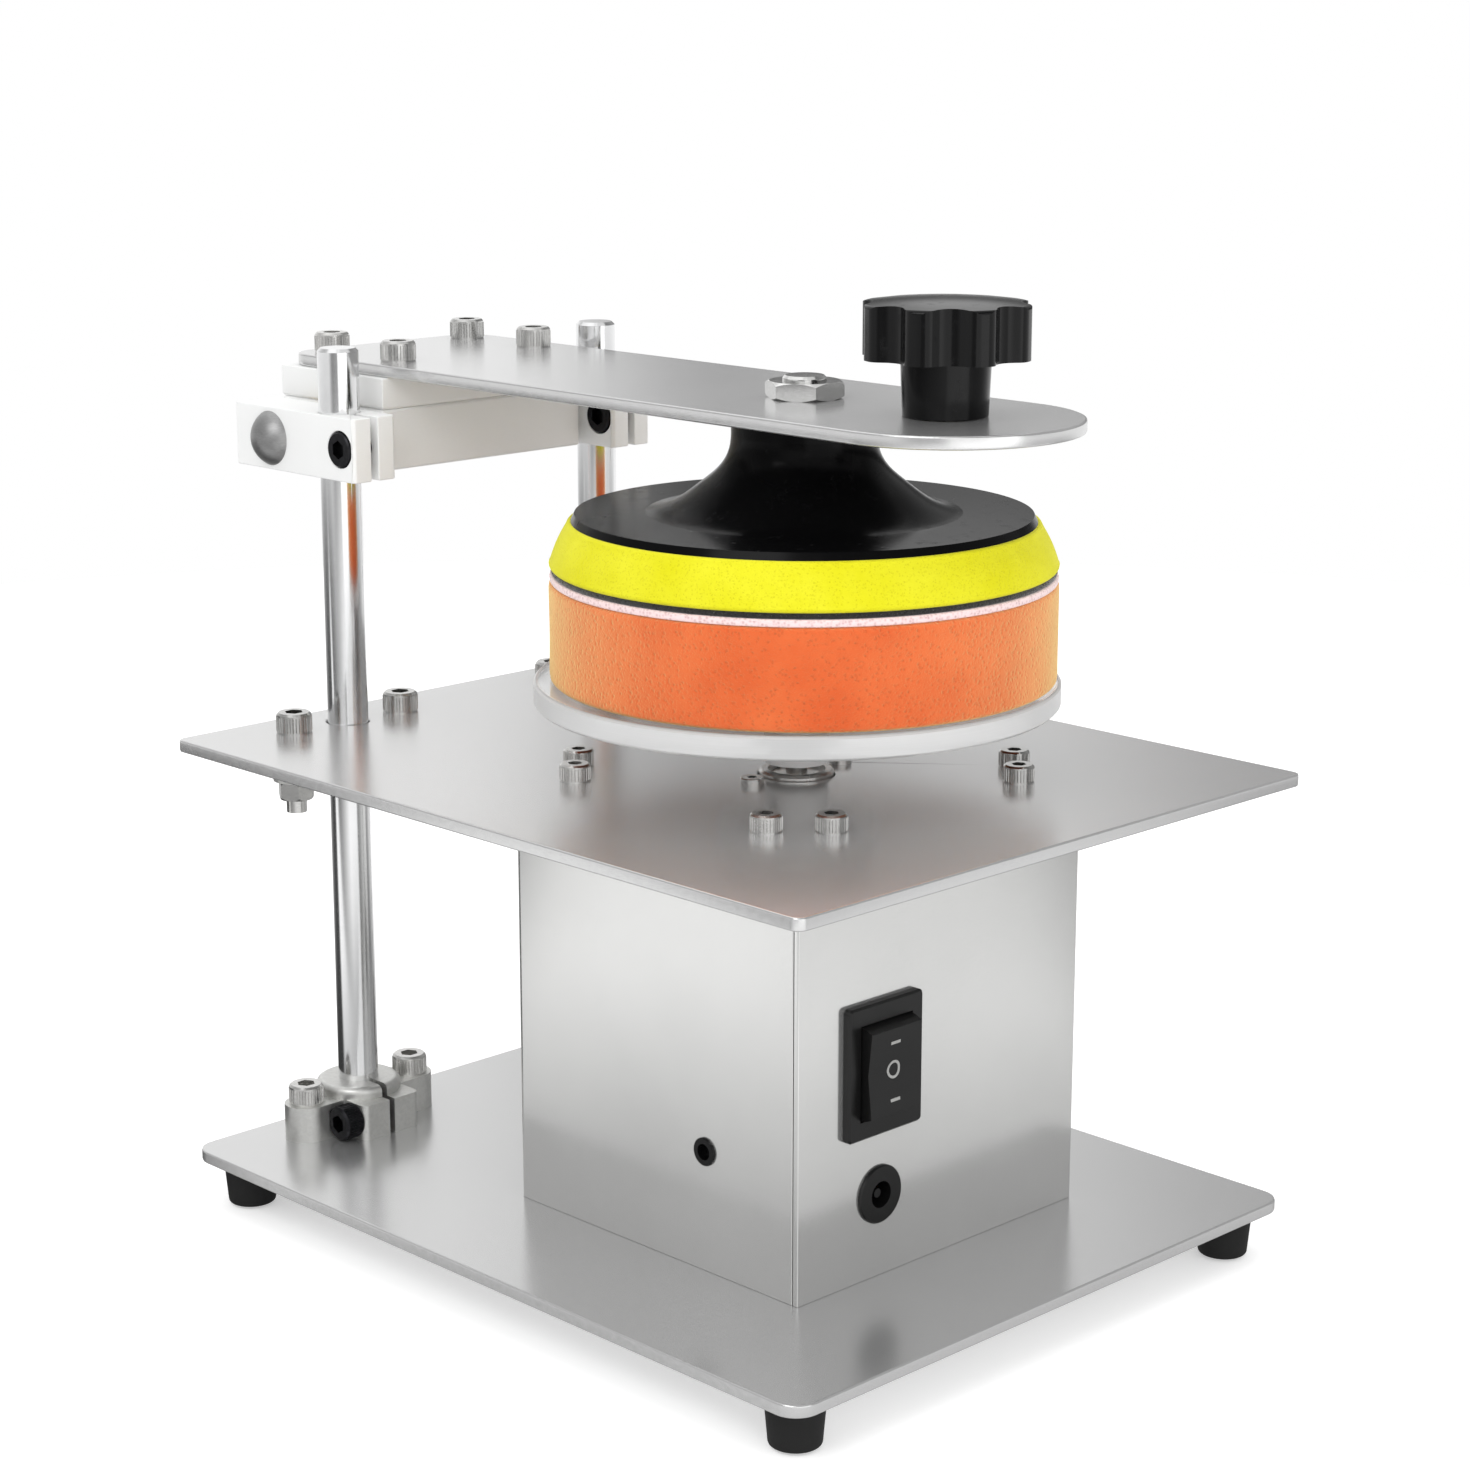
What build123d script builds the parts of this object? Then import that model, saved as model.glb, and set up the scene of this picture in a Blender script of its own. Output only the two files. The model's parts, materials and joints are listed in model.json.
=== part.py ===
"""Disc repair machine: a powered turntable under a polishing head on a hinged arm.

Millimetres, +Z up, +Y to the rear (the rods), -Y to the front (the switch).
The origin is at the middle of the whole machine's footprint, at the underside of the feet.
"""

from build123d import *
import math
import os

os.makedirs("parts", exist_ok=True)

# ---------------------------------------------------------------- driving dimensions
# Plates
plate_width = 167.0
plate_length = 211.0
plate_thickness = 3.0
base_corner_radius = 6.0
table_corner_radius = 2.5
turntable_from_front = 82.5

# Feet
foot_height = 11.0
foot_top_radius = 6.8
foot_bottom_radius = 5.8
foot_edge_round = 0.9
foot_inset = 10.3
foot_pocket_radius = 3.0
foot_pocket_depth = 5.0
foot_screw_bite = 2.0

# Motor housing
housing_side = 93.0
housing_height = 101.6
sheet_thickness = 1.5
sheet_bend_radius = 2.0
seam_gap = 0.25
block_leg = 19.0
block_thickness = 8.0
block_height = 9.0
block_corner_cut = 1.0
block_screw_from_corner = 14.0

# Screws: shank radius, head radius, head height, socket across flats; the shares are parts of
# the head's height (edge, socket) and of a nut's height (turned off at each end)
m3_radius = 1.5
m3_head_radius = 2.75
m3_head_height = 3.0
m3_socket = 2.5
m4_radius = 2.0
m4_head_radius = 3.5
m4_head_height = 4.0
m4_socket = 3.0
m5_radius = 2.5
m5_head_radius = 4.25
m5_head_height = 5.0
m5_socket = 4.0
screw_edge_share = 0.1
socket_share = 0.5
nut_turned_share = 0.18
m5_nut_flats = 8.0
m5_nut_height = 4.7
screw_clearance = 0.25
block_screw_length = 11.0
flat_head_radius = 3.9
flat_head_height = 2.3

# Guide rods and their flanges
rod_radius = 5.0
rod_from_side = 41.7
rod_from_rear = 14.0
rod_length = 197.0
rod_chamfer = 0.8
clamp_fit = 0.02
plate_rod_clearance = 0.25
flange_ear_radius = 5.5
flange_bolt_spacing = 33.0
flange_ear_height = 9.0
flange_collar_radius = 10.6
flange_collar_height = 12.0
flange_collar_round = 1.6
flange_jaw_width = 17.5
flange_jaw_reach = 13.5
flange_jaw_round = 1.8
flange_slit = 1.6
flange_screw_wall = 1.5
flange_screw_height = 4.7
flange_screw_short = 1.0
flange_bolt_length = 20.0

# Motor
motor_radius = 21.0
motor_length = 66.0
motor_wall = 1.8
motor_boss_radius = 8.7
motor_boss_height = 4.2
motor_boss_edge = 0.5
motor_boss_wall = 2.0
motor_boss_recess = 1.0
motor_screw_spacing = 29.0
motor_screw_length = 6.0
motor_screw_head_height = 1.6
motor_screw_socket = 2.0
motor_cap_length = 10.0
motor_shaft_radius = 2.5
motor_shaft_chamfer = 0.4
running_clearance = 0.05
magnet_thickness = 3.4
magnet_arc = 125.0
magnet_length = 40.0
air_gap = 0.6
armature_length = 34.0
armature_slots = 5
armature_slot_width = 2.6
armature_slot_reach = 0.6
winding_length = 5.0
winding_reach = 0.8
commutator_radius = 6.0
commutator_length = 7.0
commutator_lift = 1.0
brush_width = 4.0
brush_gap = 0.3
brush_guide_wall = 1.4
motor_terminal_place = 15.0

# Turntable
turntable_radius = 60.6
turntable_thickness = 5.5
turntable_lift = 17.6
turntable_edge = 0.6
hub_barrel_radius = 7.5
hub_flange_radius = 18.0
hub_flange_thickness = 3.5
hub_boss_gap = 1.8
hub_screw_radius = 1.5
hub_screw_socket = 1.5
hub_screw_length = 4.4
hub_screw_height = 4.9
centre_stem_radius = 4.0
centre_stem_length = 7.0
disc_hole_radius = 7.45
disc_boss_height = 1.8
disc_boss_chamfer = 0.5

# Polishing head
pad_forward = 2.0
pad_rest_gap = 0.3
sponge_radius = 58.2
sponge_thickness = 23.0
sponge_round = 1.6
sponge_recess_radius = 13.0
sponge_recess_depth = 9.0
loop_inset = 0.3
loop_thickness = 1.7
hook_inset = 0.7
hook_thickness = 1.3
foam_overhang = 0.3
foam_taper = 4.0
foam_thickness = 10.4
foam_round = 1.0
backing_inset = 1.5
backing_rim_thickness = 1.7
backing_rim_slope = 0.85
backing_neck_wall = 3.6
backing_height = 23.6
backing_flare_radius = 36.0
backing_mid_radius = 23.4
backing_mid_height = 8.4
backing_neck_height = 19.5
backing_lip_thickness = 1.6
backing_lip_overlap = 3.0
backing_flare_rise = 0.2
backing_flare_slope = 0.12
head_neck_gap = 1.0

# Ball bearings in the neck of the head
bearing_outer_radius = 13.0
bearing_inner_radius = 5.0
bearing_width = 8.0
bearing_count = 2
bearing_ring_wall = 2.6
ball_groove_depth = 1.0
ball_clearance = 0.06
ball_count = 7
spindle_head_flats = 16.0
spindle_head_height = 4.2
spindle_sleeve_radius = 7.0
spindle_nut_flats = 16.0
spindle_nut_height = 4.0
spindle_thread_end = 1.2
spindle_end_chamfer = 0.6

# Arm
arm_side_step = 1.4
arm_thickness = 3.0
arm_rear_corner = 8.0
arm_screw_from_side = 8.6
arm_screw_front = 1.6
arm_screw_pin_wall = 0.8
arm_screw_length = 18.0
knob_from_turntable = 44.4

# Hinge between the rods
hinge_side_gap = 3.3
hinge_front = 4.5
hinge_rear = 36.0
hinge_height = 15.0
hinge_chamfer = 0.5
spacer_height = 7.8
pin_radius = 4.0
pin_from_rods = 19.5
bush_wall = 1.2
bush_length = 14.0
bush_flange_radius = 7.0
bush_play = 0.3
dome_radius = 6.7
dome_height = 4.2

# Clamp blocks on the rods
clamp_width = 13.0
clamp_height = 15.5
clamp_front = 13.5
clamp_rear = 34.0
clamp_slit = 2.2
clamp_screw_wall = 0.7
clamp_counterbore = 3.0
clamp_edge = 0.8
clamp_screw_length = 9.0
clamp_screw_head_height = 3.5

# Star knob
knob_gap = 0.3
knob_hub_radius = 9.4
knob_hub_top_radius = 9.9
knob_hub_height = 12.4
knob_head_radius = 18.8
knob_head_height = 11.8
knob_dome_height = 1.1
knob_edge_round = 0.9
knob_lobes = 8
knob_groove_radius = 5.0
knob_groove_depth = 3.0
knob_lobe_round = 3.0
knob_insert_radius = 5.0
knob_insert_length = 14.0
knob_screw_radius = 3.0
knob_screw_length = 15.0
knob_screw_head_radius = 5.2
knob_screw_head_height = 3.0
knob_screw_head_round = 1.0

# Rocker switch
switch_x = -20.6
switch_height = 50.0
bezel_side_lip = 1.9
bezel_end_lip = 3.1
bezel_thickness = 2.0
bezel_round = 1.2
bezel_edge = 0.5
switch_side_wall = 1.65
switch_end_wall = 1.05
switch_body_depth = 17.0
rocker_width = 16.0
rocker_radius = 11.0
rocker_gap = 0.35
rocker_reach = 5.0
rocker_hollow = 1.1
rocker_back = 4.0
rocker_stub_radius = 1.4
rocker_stub_length = 1.2
terminal_width = 4.8
terminal_thickness = 0.8
terminal_length = 8.0
terminal_spacing_across = 11.0
terminal_spacing_up = 9.2

# Power jack and side plug
jack_height = 19.6
jack_flange_radius = 6.8
jack_flange_thickness = 0.8
jack_flange_edge = 0.3
jack_barrel_radius = 5.5
jack_barrel_length = 13.0
jack_socket_radius = 3.1
jack_socket_depth = 10.0
jack_pin_radius = 1.05
jack_pin_recess = 1.2
jack_nut_flats = 14.0
jack_nut_height = 2.6
plug_height = 28.6
plug_forward = 17.5
plug_head_radius = 3.3
plug_head_height = 0.6
plug_head_round = 0.3
plug_dimple_radius = 1.9
plug_dimple_depth = 2.4
plug_stem_radius = 2.8
plug_stem_length = 5.0

# ---------------------------------------------------------------- derived places
rear_overhang = hinge_rear - rod_from_rear
plate_front_y = -(plate_length + rear_overhang) / 2
plate_middle_y = plate_front_y + plate_length / 2
turntable_y = plate_front_y + turntable_from_front
rod_y = plate_front_y + plate_length - rod_from_rear
rod_x = plate_width / 2 - rod_from_side
clamp_inner_x = rod_x - clamp_width / 2
clamp_outer_x = rod_x + clamp_width / 2
hinge_half_width = clamp_inner_x - hinge_side_gap
arm_half_width = hinge_half_width - arm_side_step
head_y = turntable_y - pad_forward
knob_y = turntable_y - knob_from_turntable
pin_y = rod_y + pin_from_rods

base_bottom_z = foot_height
base_top_z = base_bottom_z + plate_thickness
table_bottom_z = base_top_z + housing_height
table_top_z = table_bottom_z + plate_thickness
disc_bottom_z = table_top_z + turntable_lift
disc_top_z = disc_bottom_z + turntable_thickness
sponge_z = disc_top_z + pad_rest_gap
loop_z = sponge_z + sponge_thickness
hook_z = loop_z + loop_thickness
foam_z = hook_z + hook_thickness
backing_z = foam_z + foam_thickness
backing_top_z = backing_z + backing_height
arm_z = backing_top_z + head_neck_gap
arm_top_z = arm_z + arm_thickness
spacer_z = arm_z - spacer_height
hinge_z = spacer_z - hinge_height
pin_z = hinge_z + hinge_height / 2
bearing_z = backing_top_z - backing_lip_thickness - bearing_count * bearing_width
housing_half = housing_side / 2
housing_front_y = turntable_y - housing_half
switch_z = base_top_z + switch_height
rocker_opening = rocker_width + 2 * rocker_gap
cavity_radius = rocker_radius + rocker_gap
switch_body_width = rocker_opening + 2 * switch_side_wall
switch_body_height = 2 * (cavity_radius + switch_end_wall)
bezel_width = switch_body_width + 2 * bezel_side_lip
bezel_height = switch_body_height + 2 * bezel_end_lip
jack_z = base_top_z + jack_height
hub_bottom_z = table_bottom_z + motor_boss_height + hub_boss_gap

block_outer = housing_half - sheet_thickness
block_centre = block_outer - block_thickness / 2
block_along = block_outer - block_screw_from_corner
block_screw_points = []
for side_x in (-1, 1):
    for side_y in (-1, 1):
        block_screw_points.append((side_x * block_centre, turntable_y + side_y * block_along))
        block_screw_points.append((side_x * block_along, turntable_y + side_y * block_centre))

flange_bolt_points = []
for side_x in (-1, 1):
    for ear in (-1, 1):
        flange_bolt_points.append((side_x * rod_x + ear * flange_bolt_spacing / 2, rod_y))

bush_radius = pin_radius + bush_wall
arm_screw_rear = pin_from_rods + bush_radius + m5_radius + arm_screw_pin_wall
arm_screw_points = []
for side_x in (-1, 1):
    for back in (arm_screw_front, arm_screw_rear):
        arm_screw_points.append((side_x * (arm_half_width - arm_screw_from_side), rod_y + back))

foot_points = []
for side_x in (-1, 1):
    for side_y in (-1, 1):
        foot_x = side_x * (plate_width / 2 - foot_inset)
        foot_points.append((foot_x, plate_middle_y + side_y * (plate_length / 2 - foot_inset)))


# ---------------------------------------------------------------- fastener forms
def cap_screw(radius, length, head_radius, head_height, socket):
    """Socket head cap screw, seated at z = 0 with its shank down and its socket up."""
    with BuildPart() as screw:
        with BuildSketch(Plane.XY):
            Circle(head_radius)
        extrude(amount=head_height)
        chamfer(screw.edges().group_by(Axis.Z)[-1], head_height * screw_edge_share)
        with BuildSketch(Plane.XY):
            Circle(radius)
        extrude(amount=-length)
        with BuildSketch(Plane.XY.offset(head_height)):
            RegularPolygon(socket / 2, 6, major_radius=False)
        extrude(amount=-head_height * socket_share, mode=Mode.SUBTRACT)
    return screw.part


def flat_head_screw(radius, length, head_radius, head_height, socket):
    """Countersunk screw whose flat face is at z = 0, looking down, with its shank up."""
    with BuildPart() as screw:
        with BuildSketch(Plane.XZ):
            with BuildLine():
                Polyline(
                    (0, 0),
                    (head_radius, 0),
                    (radius, head_height),
                    (radius, length),
                    (0, length),
                    close=True,
                )
            make_face()
        revolve(axis=Axis.Z)
        with BuildSketch(Plane.XY):
            RegularPolygon(socket / 2, 6, major_radius=False)
        extrude(amount=head_height * socket_share, mode=Mode.SUBTRACT)
    return screw.part


def hexagon_nut(bore_radius, flats, height):
    """Hexagon nut standing on z = 0, its outer corners turned off at both ends."""
    corner_radius = flats / math.sqrt(3)
    with BuildPart() as nut:
        with BuildSketch(Plane.XY):
            RegularPolygon(flats / 2, 6, major_radius=False)
        extrude(amount=height)
        with BuildSketch(Plane.XZ):
            with BuildLine():
                Polyline(
                    (0, 0),
                    (flats / 2, 0),
                    (corner_radius, height * nut_turned_share),
                    (corner_radius, height * (1 - nut_turned_share)),
                    (flats / 2, height),
                    (0, height),
                    close=True,
                )
            make_face()
        revolve(axis=Axis.Z, mode=Mode.INTERSECT)
        with BuildSketch(Plane.XY):
            Circle(bore_radius)
        extrude(amount=height, mode=Mode.SUBTRACT)
    return nut.part


def finish(part, name):
    """Give a finished piece its name and write it."""
    part.label = name
    export_step(part, "parts/" + name + ".step")


m3_foot = cap_screw(
    m3_radius,
    foot_height - foot_pocket_depth + foot_screw_bite,
    m3_head_radius,
    m3_head_height,
    m3_socket,
)
m4_block = cap_screw(m4_radius, block_screw_length, m4_head_radius, m4_head_height, m4_socket)
m3_motor = cap_screw(
    m3_radius, motor_screw_length, m3_head_radius, motor_screw_head_height, motor_screw_socket
)
m5_flange = cap_screw(m5_radius, flange_bolt_length, m5_head_radius, m5_head_height, m5_socket)
m5_jaw = cap_screw(
    m5_radius,
    flange_jaw_width - flange_screw_short,
    m5_head_radius,
    m5_head_height,
    m5_socket,
)
m5_clamp = cap_screw(
    m5_radius, clamp_screw_length, m5_head_radius, clamp_screw_head_height, m5_socket
)
m5_arm = cap_screw(m5_radius, arm_screw_length, m5_head_radius, m5_head_height, m5_socket)
flat_screw = flat_head_screw(
    m4_radius, block_screw_length, flat_head_radius, flat_head_height, m4_socket
)
m5_nut = hexagon_nut(m5_radius, m5_nut_flats, m5_nut_height)

# ---------------------------------------------------------------- base plate and feet
with BuildPart() as base_plate:
    with BuildSketch(Plane.XY.offset(base_bottom_z)):
        with Locations((0, plate_middle_y)):
            RectangleRounded(plate_width, plate_length, base_corner_radius)
        with Locations(*flange_bolt_points):
            Circle(m5_radius + screw_clearance, mode=Mode.SUBTRACT)
    extrude(amount=plate_thickness)
    for point in block_screw_points:
        with BuildSketch(Plane.XY.offset(base_bottom_z)):
            with Locations(point):
                Circle(flat_head_radius)
        with BuildSketch(Plane.XY.offset(base_bottom_z + flat_head_height)):
            with Locations(point):
                Circle(m4_radius)
        loft(ruled=True, mode=Mode.SUBTRACT)
    with BuildSketch(Plane.XY.offset(base_bottom_z + flat_head_height)):
        with Locations(*block_screw_points):
            Circle(m4_radius)
    extrude(amount=plate_thickness - flat_head_height, mode=Mode.SUBTRACT)
    with BuildSketch(Plane.XY.offset(base_bottom_z)):
        with Locations(*foot_points):
            Circle(m3_radius)
    extrude(amount=foot_screw_bite, mode=Mode.SUBTRACT)
finish(base_plate.part, "base_plate")

with BuildPart() as rubber_foot:
    with BuildSketch(Plane.XY):
        Circle(foot_bottom_radius)
    with BuildSketch(Plane.XY.offset(foot_height)):
        Circle(foot_top_radius)
    loft(ruled=True)
    fillet(rubber_foot.edges().group_by(Axis.Z)[0], foot_edge_round)
    with BuildSketch(Plane.XY):
        Circle(foot_pocket_radius)
    extrude(amount=foot_pocket_depth, mode=Mode.SUBTRACT)
    with BuildSketch(Plane.XY):
        Circle(m3_radius)
    extrude(amount=foot_height, mode=Mode.SUBTRACT)
with BuildPart() as rubber_feet:
    with Locations(*foot_points):
        add(rubber_foot.part)
finish(rubber_feet.part, "rubber_feet")

foot_screw_places = []
for x, y in foot_points:
    foot_screw_places.append(Location((x, y, foot_pocket_depth), (180, 0, 0)))
with BuildPart() as foot_screws:
    with Locations(*foot_screw_places):
        add(m3_foot)
finish(foot_screws.part, "foot_screws")

with BuildPart() as base_screws:
    with Locations(*[(x, y, base_bottom_z) for x, y in block_screw_points]):
        add(flat_screw)
finish(base_screws.part, "base_screws")

# ---------------------------------------------------------------- motor housing
wrap_front_y = housing_front_y + sheet_thickness + seam_gap
wrap_rear_y = turntable_y + housing_half
with BuildPart() as housing_wrap:
    with BuildSketch(Plane.XY.offset(base_top_z)) as wrap_outline:
        with Locations((0, (wrap_front_y + wrap_rear_y) / 2)):
            Rectangle(housing_side, wrap_rear_y - wrap_front_y)
        fillet(wrap_outline.vertices().group_by(Axis.Y)[-1], sheet_bend_radius)
    extrude(amount=housing_height)
    with BuildSketch(Plane.XY.offset(base_top_z)) as wrap_hollow:
        with Locations((0, (wrap_front_y + wrap_rear_y) / 2 - sheet_thickness)):
            Rectangle(2 * block_outer, wrap_rear_y - wrap_front_y)
        fillet(wrap_hollow.vertices().group_by(Axis.Y)[-1], sheet_bend_radius - sheet_thickness)
    extrude(amount=housing_height, mode=Mode.SUBTRACT)
    with BuildSketch(Plane.YZ.offset(-housing_half)):
        with Locations((turntable_y - plug_forward, base_top_z + plug_height)):
            Circle(plug_stem_radius)
    extrude(amount=sheet_thickness, mode=Mode.SUBTRACT)
finish(housing_wrap.part, "housing_wrap")

# The front panel's own plane: x to the right, y up, its normal to the front.
front_plane = Plane.XZ.offset(-housing_front_y)
with BuildPart() as front_panel:
    with BuildSketch(front_plane.offset(-sheet_thickness)):
        with Locations((0, base_top_z + housing_height / 2)):
            Rectangle(housing_side, housing_height)
        with Locations((switch_x, switch_z)):
            Rectangle(switch_body_width, switch_body_height, mode=Mode.SUBTRACT)
        with Locations((switch_x, jack_z)):
            Circle(jack_barrel_radius, mode=Mode.SUBTRACT)
    extrude(amount=sheet_thickness)
finish(front_panel.part, "front_panel")

# An L shaped block for each corner, below and above, with its corner at the origin.
with BuildPart() as corner_block:
    with BuildSketch(Plane.XY):
        with BuildLine():
            Polyline(
                (block_corner_cut, 0),
                (block_leg, 0),
                (block_leg, block_thickness),
                (block_thickness, block_thickness),
                (block_thickness, block_leg),
                (0, block_leg),
                (0, block_corner_cut),
                close=True,
            )
        make_face()
        with Locations(
            (block_thickness / 2, block_screw_from_corner),
            (block_screw_from_corner, block_thickness / 2),
        ):
            Circle(m4_radius, mode=Mode.SUBTRACT)
    extrude(amount=block_height)
block_places = []
for turn, side_x, side_y in ((0, -1, -1), (90, 1, -1), (180, 1, 1), (270, -1, 1)):
    for level in (base_top_z, table_bottom_z - block_height):
        corner = (side_x * block_outer, turntable_y + side_y * block_outer, level)
        block_places.append(Location(corner, (0, 0, turn)))
with BuildPart() as corner_blocks:
    with Locations(*block_places):
        add(corner_block.part)
finish(corner_blocks.part, "corner_blocks")

with BuildPart() as side_plug:
    plug_plane = Plane.YZ.offset(-housing_half)
    plug_point = (turntable_y - plug_forward, base_top_z + plug_height)
    with BuildSketch(plug_plane):
        with Locations(plug_point):
            Circle(plug_head_radius)
    extrude(amount=-plug_head_height)
    fillet(side_plug.edges().group_by(Axis.X)[0], plug_head_round)
    with BuildSketch(plug_plane):
        with Locations(plug_point):
            Circle(plug_stem_radius)
    extrude(amount=plug_stem_length)
    with BuildSketch(plug_plane.offset(-plug_head_height)):
        with Locations(plug_point):
            Circle(plug_dimple_radius)
    extrude(amount=plug_dimple_depth, mode=Mode.SUBTRACT)
finish(side_plug.part, "side_plug")

# ---------------------------------------------------------------- table plate
with BuildPart() as table_plate:
    with BuildSketch(Plane.XY.offset(table_bottom_z)):
        with Locations((0, plate_middle_y)):
            RectangleRounded(plate_width, plate_length, table_corner_radius)
        with Locations((0, turntable_y)):
            Circle(motor_boss_radius + screw_clearance, mode=Mode.SUBTRACT)
        with Locations((0, turntable_y)):
            with GridLocations(motor_screw_spacing, 0, 2, 1):
                Circle(m3_radius + screw_clearance, mode=Mode.SUBTRACT)
        with Locations(*block_screw_points):
            Circle(m4_radius + screw_clearance, mode=Mode.SUBTRACT)
        with Locations((-rod_x, rod_y), (rod_x, rod_y)):
            Circle(rod_radius + plate_rod_clearance, mode=Mode.SUBTRACT)
        with Locations(*flange_bolt_points):
            Circle(m5_radius + screw_clearance, mode=Mode.SUBTRACT)
    extrude(amount=plate_thickness)
finish(table_plate.part, "table_plate")

with BuildPart() as table_screws:
    with Locations(*[(x, y, table_top_z) for x, y in block_screw_points]):
        add(m4_block)
finish(table_screws.part, "table_screws")

# ---------------------------------------------------------------- guide rods and flanges
for side, name in ((-1, "guide_rod_left"), (1, "guide_rod_right")):
    with BuildPart() as guide_rod:
        with BuildSketch(Plane.XY.offset(base_top_z)):
            with Locations((side * rod_x, rod_y)):
                Circle(rod_radius)
        extrude(amount=rod_length)
        chamfer(guide_rod.edges().group_by(Axis.Z)[-1], rod_chamfer)
    finish(guide_rod.part, name)

# One cast flange about its own rod axis, standing on z = 0, its jaws to the front.
flange_screw_reach = rod_radius + m5_radius + flange_screw_wall
with BuildPart() as rod_flange:
    with BuildSketch(Plane.XY):
        SlotOverall(flange_bolt_spacing + 2 * flange_ear_radius, 2 * flange_ear_radius)
        with Locations((0, -flange_jaw_reach / 2)):
            Rectangle(flange_jaw_width, flange_jaw_reach)
    extrude(amount=flange_ear_height)
    jaw_corners = rod_flange.edges().filter_by(Axis.Z).group_by(Axis.Y)[0]
    fillet(jaw_corners, flange_jaw_round)
    with BuildSketch(Plane.XY):
        Circle(flange_collar_radius)
    extrude(amount=flange_collar_height)
    fillet(rod_flange.edges().group_by(Axis.Z)[-1], flange_collar_round)
    with BuildSketch(Plane.XY):
        Circle(rod_radius + clamp_fit)
        with Locations((0, -flange_jaw_reach / 2)):
            Rectangle(flange_slit, flange_jaw_reach)
        with GridLocations(flange_bolt_spacing, 0, 2, 1):
            Circle(m5_radius + screw_clearance)
    extrude(amount=flange_collar_height, mode=Mode.SUBTRACT)
    with BuildSketch(Plane.YZ.offset(-flange_jaw_width / 2)):
        with Locations((-flange_screw_reach, flange_screw_height)):
            Circle(m5_head_radius + screw_clearance)
    extrude(amount=-m5_head_height, mode=Mode.SUBTRACT)
    with BuildSketch(Plane.YZ.offset(-flange_jaw_width / 2)):
        with Locations((-flange_screw_reach, flange_screw_height)):
            Circle(m5_radius)
    extrude(amount=flange_jaw_width, mode=Mode.SUBTRACT)

for side, word in ((-1, "left"), (1, "right")):
    with BuildPart() as lower_flange:
        with Locations((side * rod_x, rod_y, base_top_z)):
            add(rod_flange.part)
    finish(lower_flange.part, "lower_flange_" + word)
    with BuildPart() as upper_flange:
        with Locations(Location((side * rod_x, rod_y, table_bottom_z), (0, 180, 0))):
            add(rod_flange.part)
    finish(upper_flange.part, "upper_flange_" + word)

with BuildPart() as lower_flange_bolts:
    seat_z = base_top_z + flange_ear_height
    with Locations(*[(x, y, seat_z) for x, y in flange_bolt_points]):
        add(m5_flange)
finish(lower_flange_bolts.part, "lower_flange_bolts")

with BuildPart() as lower_flange_nuts:
    seat_z = base_bottom_z - m5_nut_height
    with Locations(*[(x, y, seat_z) for x, y in flange_bolt_points]):
        add(m5_nut)
finish(lower_flange_nuts.part, "lower_flange_nuts")

with BuildPart() as upper_flange_bolts:
    with Locations(*[(x, y, table_top_z) for x, y in flange_bolt_points]):
        add(m5_flange)
finish(upper_flange_bolts.part, "upper_flange_bolts")

with BuildPart() as upper_flange_nuts:
    seat_z = table_bottom_z - flange_ear_height - m5_nut_height
    with Locations(*[(x, y, seat_z) for x, y in flange_bolt_points]):
        add(m5_nut)
finish(upper_flange_nuts.part, "upper_flange_nuts")

jaw_screw_places = []
for side in (-1, 1):
    jaw_x = side * rod_x - flange_jaw_width / 2
    jaw_y = rod_y - flange_screw_reach
    jaw_screw_places.append(Location((jaw_x, jaw_y, base_top_z + flange_screw_height), (0, -90, 0)))
    jaw_x = side * rod_x + flange_jaw_width / 2
    jaw_screw_places.append(Location((jaw_x, jaw_y, table_bottom_z - flange_screw_height), (0, 90, 0)))
with BuildPart() as flange_clamp_screws:
    with Locations(*jaw_screw_places):
        add(m5_jaw)
finish(flange_clamp_screws.part, "flange_clamp_screws")

# ---------------------------------------------------------------- motor
motor_bottom_z = table_bottom_z - motor_length
motor_inner_radius = motor_radius - motor_wall
cavity_top_z = table_bottom_z - motor_wall
cap_top_z = motor_bottom_z + motor_cap_length
motor_axis_plane = Plane((0, turntable_y, 0))

with BuildPart() as motor_can:
    with BuildSketch(motor_axis_plane.offset(motor_bottom_z)):
        Circle(motor_radius)
    extrude(amount=motor_length)
    fillet(motor_can.edges().group_by(Axis.Z)[-1], motor_wall)
    with BuildSketch(motor_axis_plane.offset(motor_bottom_z)):
        Circle(motor_inner_radius)
    extrude(amount=motor_length - motor_wall, mode=Mode.SUBTRACT)
    with BuildSketch(motor_axis_plane.offset(cavity_top_z)):
        Circle(motor_boss_radius)
    extrude(amount=motor_wall + motor_boss_height)
    chamfer(motor_can.edges().group_by(Axis.Z)[-1], motor_boss_edge)
    with BuildSketch(motor_axis_plane.offset(cavity_top_z)):
        Circle(motor_shaft_radius + running_clearance)
        with GridLocations(motor_screw_spacing, 0, 2, 1):
            Circle(m3_radius)
    extrude(amount=motor_wall + motor_boss_height, mode=Mode.SUBTRACT)
    with BuildSketch(motor_axis_plane.offset(table_bottom_z + motor_boss_height)):
        Circle(motor_boss_radius - motor_boss_wall)
    extrude(amount=-motor_boss_recess, mode=Mode.SUBTRACT)
finish(motor_can.part, "motor_can")

cap_hollow_radius = motor_inner_radius - motor_wall
brush_start = commutator_radius + brush_gap
brush_end = math.sqrt(cap_hollow_radius**2 - (brush_width / 2) ** 2)
brush_middle = (brush_start + brush_end) / 2
brush_length = brush_end - brush_start
commutator_z = motor_bottom_z + motor_wall + commutator_lift
brush_z = commutator_z + (commutator_length - brush_width) / 2

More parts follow.
